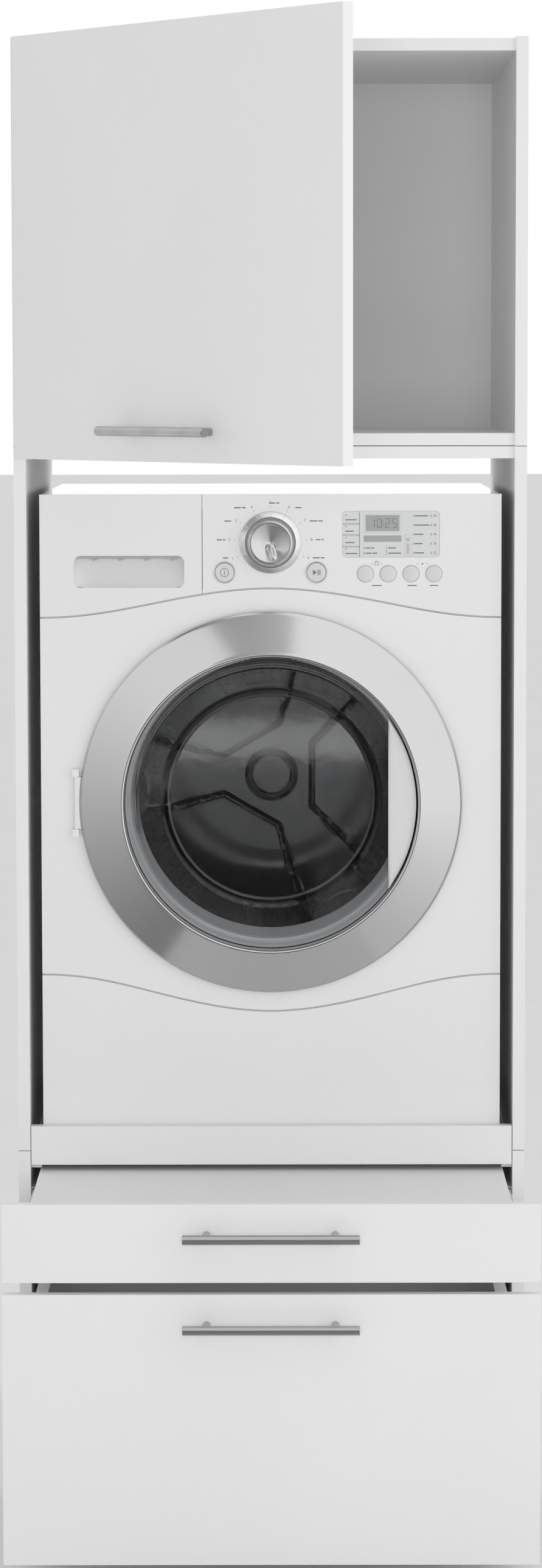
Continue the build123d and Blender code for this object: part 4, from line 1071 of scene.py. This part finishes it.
# %% Joint lines
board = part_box("cupboard_bottom")[1].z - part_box("cupboard_bottom")[0].z
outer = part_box("cupboard_sides")[1].x
joint_heights = (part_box("cupboard_sides")[0].z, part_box("base_sides")[1].z)
seams = []
for z in joint_heights:
    for side in (-1, 1):
        seams.append(rectangle(side * (outer - board / 2), z, board - 0.6 * MM, 0.9 * MM))
prisms("joint_lines", seams, cabinet_front - 0.06 * MM, 0.4 * MM, "cabinet", groove_dark)
print("joints at", [round(z, 4) for z in joint_heights])

# %% [markdown]
# ## Floor, light and camera
# A product like this is shot on white. The world is white behind the tower and dimmer in front
# of it. Silver and glass need something to mirror, so what they mirror is a second sky: pale
# above, grey at the lower left, dark straight ahead with one bright strip. The strip is an
# invention that puts one bright line on the glass. Mirrors show neither the floor nor the soft
# boxes. Looking straight through the glass shows the plain floor and the plain sky. Three soft
# boxes stand in front: a small strong one just behind the camera, and two weaker ones, overhead
# and to the right.

# %% Pale floor
FLOOR_REACH = 60.0
floor_mesh = bpy.data.meshes.new("floor")
floor_corners = rectangle(0, 0, 2 * FLOOR_REACH, 2 * FLOOR_REACH)
floor_mesh.from_pydata([(x, y, 0) for x, y in floor_corners], [], [(0, 1, 2, 3)])
floor = bpy.data.objects.new("floor", floor_mesh)
bpy.context.scene.collection.objects.link(floor)
floor_white = finish("floor_white", (0.88, 0.88, 0.88), 0.8, bump=0, drift=0.01, specular=0.1)
floor_mesh.materials.append(floor_white)


def once_mirrored(tree):
    """1 for light that comes off something shiny, also if it leaves through glass, else 0:
    the number of shiny bounces, at most 1, times whether the last bounce was shiny or glass."""
    path = tree.nodes.new("ShaderNodeLightPath")

    def join(operation, first, second):
        node = tree.nodes.new("ShaderNodeMath")
        node.operation = operation
        tree.links.new(first, node.inputs[0])
        if isinstance(second, float):
            node.inputs[1].default_value = second
        else:
            tree.links.new(second, node.inputs[1])
        return node.outputs["Value"]

    last = join("MAXIMUM", path.outputs["Is Glossy Ray"], path.outputs["Is Transmission Ray"])
    return join("MULTIPLY", join("MINIMUM", path.outputs["Glossy Depth"], 1.0), last)


tree = floor_white.node_tree
open_below = tree.nodes.new("ShaderNodeBsdfTransparent")
mixed = tree.nodes.new("ShaderNodeMixShader")
tree.links.new(once_mirrored(tree), mixed.inputs[0])
tree.links.new(tree.nodes["Principled BSDF"].outputs["BSDF"], mixed.inputs[1])
tree.links.new(open_below.outputs["BSDF"], mixed.inputs[2])
tree.links.new(mixed.outputs["Shader"], tree.nodes["Material Output"].inputs["Surface"])

# %% The sky that lights the tower: white behind it, grey in front
world = bpy.data.worlds.new("studio")
bpy.context.scene.world = world
world.use_nodes = True
sky = world.node_tree
direction = sky.nodes.new("ShaderNodeTexCoord")
split = sky.nodes.new("ShaderNodeSeparateXYZ")
sky.links.new(direction.outputs["Generated"], split.inputs["Vector"])


def ramp_along(axis, start, end, low, high):
    """A straight change of brightness from low to high between two values of one direction axis."""
    node = sky.nodes.new("ShaderNodeMapRange")
    node.inputs["From Min"].default_value = start
    node.inputs["From Max"].default_value = end
    node.inputs["To Min"].default_value = low
    node.inputs["To Max"].default_value = high
    sky.links.new(split.outputs[axis], node.inputs["Value"])
    return node.outputs["Result"]


def combine(operation, first, second):
    """One arithmetic step between two brightness values."""
    node = sky.nodes.new("ShaderNodeMath")
    node.operation = operation
    sky.links.new(first, node.inputs[0])
    sky.links.new(second, node.inputs[1])
    return node.outputs["Value"]


side_light = ramp_along("X", -0.8, 0.8, 0.44, 0.54)
back_light = ramp_along("Y", -0.25, 0.12, 0.0, 1.0)
plain_sky = combine("MAXIMUM", side_light, back_light)


# %% The sky that mirrors show
def between(share, low, high):
    """The value a share of the way from low to high: low + share (high - low)."""
    return combine("ADD", low, combine("MULTIPLY", share, combine("SUBTRACT", high, low)))


def constant(value):
    """A fixed brightness."""
    node = sky.nodes.new("ShaderNodeValue")
    node.outputs["Value"].default_value = value
    return node.outputs["Value"]


# a sharp edge between a darker left and a brighter right
card_edge = ramp_along("X", 0.115, 0.125, 0.0, 1.0)
around = between(card_edge, ramp_along("Z", -0.66, 0.45, 0.3, 1.1),
                 ramp_along("Z", -0.66, -0.1, 0.72, 1.25))
# 1 in a window straight ahead, 0 outside it
ahead = combine("MULTIPLY", combine("MULTIPLY", ramp_along("X", -0.34, -0.26, 0.0, 1.0),
                                    ramp_along("X", 0.26, 0.34, 1.0, 0.0)),
                combine("MULTIPLY", ramp_along("Z", -0.36, -0.28, 0.0, 1.0),
                        ramp_along("Z", 0.2, 0.28, 1.0, 0.0)))
# 2 between two heights just below the horizon, 0 elsewhere
strip = combine("MULTIPLY", ramp_along("Z", -0.0890, -0.0882, 0.0, 2.0),
                ramp_along("Z", -0.0804, -0.0798, 1.0, 0.0))
in_front = between(ahead, around, combine("ADD", strip, constant(0.1)))
glossy_sky = combine("MAXIMUM", in_front, back_light)
brightness = between(once_mirrored(sky), plain_sky, glossy_sky)
sky.links.new(brightness, sky.nodes["Background"].inputs["Strength"])
sky.nodes["Background"].inputs["Color"].default_value = (1, 1, 1, 1)

# %% Soft boxes


def soft_box(name, place, aim, size, watts):
    """A rectangular area light at a place, turned towards an aim point."""
    light = bpy.data.lights.new(name, "AREA")
    light.shape = "RECTANGLE"
    light.size, light.size_y = size
    light.energy = watts
    lamp = bpy.data.objects.new(name, light)
    lamp.location = place
    lamp.visible_camera = False
    lamp.visible_glossy = False
    lamp.visible_transmission = False
    lamp.rotation_euler = (Vector(aim) - Vector(place)).to_track_quat("-Z", "Y").to_euler()
    bpy.context.scene.collection.objects.link(lamp)


soft_box("overhead", (1.4, cabinet_front - 2.6, 3.8), (0, cabinet_front, 1.0), (3.2, 2.0), 8)
soft_box("front_fill", (0, cabinet_front - 6.2, 1.5), (0, cabinet_front, 1.0), (1.6, 1.6), 80)
soft_box("right_side", (3.2, cabinet_front - 2.6, 1.3), (0, cabinet_front, 1.0), (2.4, 3.0), 18)
print("lights:", len(bpy.data.lights))

# %% Camera
eye = Vector((0.0126, cabinet_front - 5.6468, 1.495))
yaw, pitch, roll = 0.002195, 0.094817, 0.001793  # radians
lens_data = bpy.data.cameras.new("camera")
lens_data.lens = 98.457
lens_data.sensor_width = 36.0
camera = bpy.data.objects.new("camera", lens_data)
camera.matrix_world = (Matrix.Translation(eye) @ Matrix.Rotation(yaw, 4, "Z")
                       @ Matrix.Rotation(-pitch, 4, "X") @ Matrix.Rotation(roll, 4, "Y")
                       @ Matrix.Rotation(pi / 2, 4, "X"))
bpy.context.scene.collection.objects.link(camera)
bpy.context.scene.camera = camera
bpy.context.scene.view_settings.view_transform = "Standard"
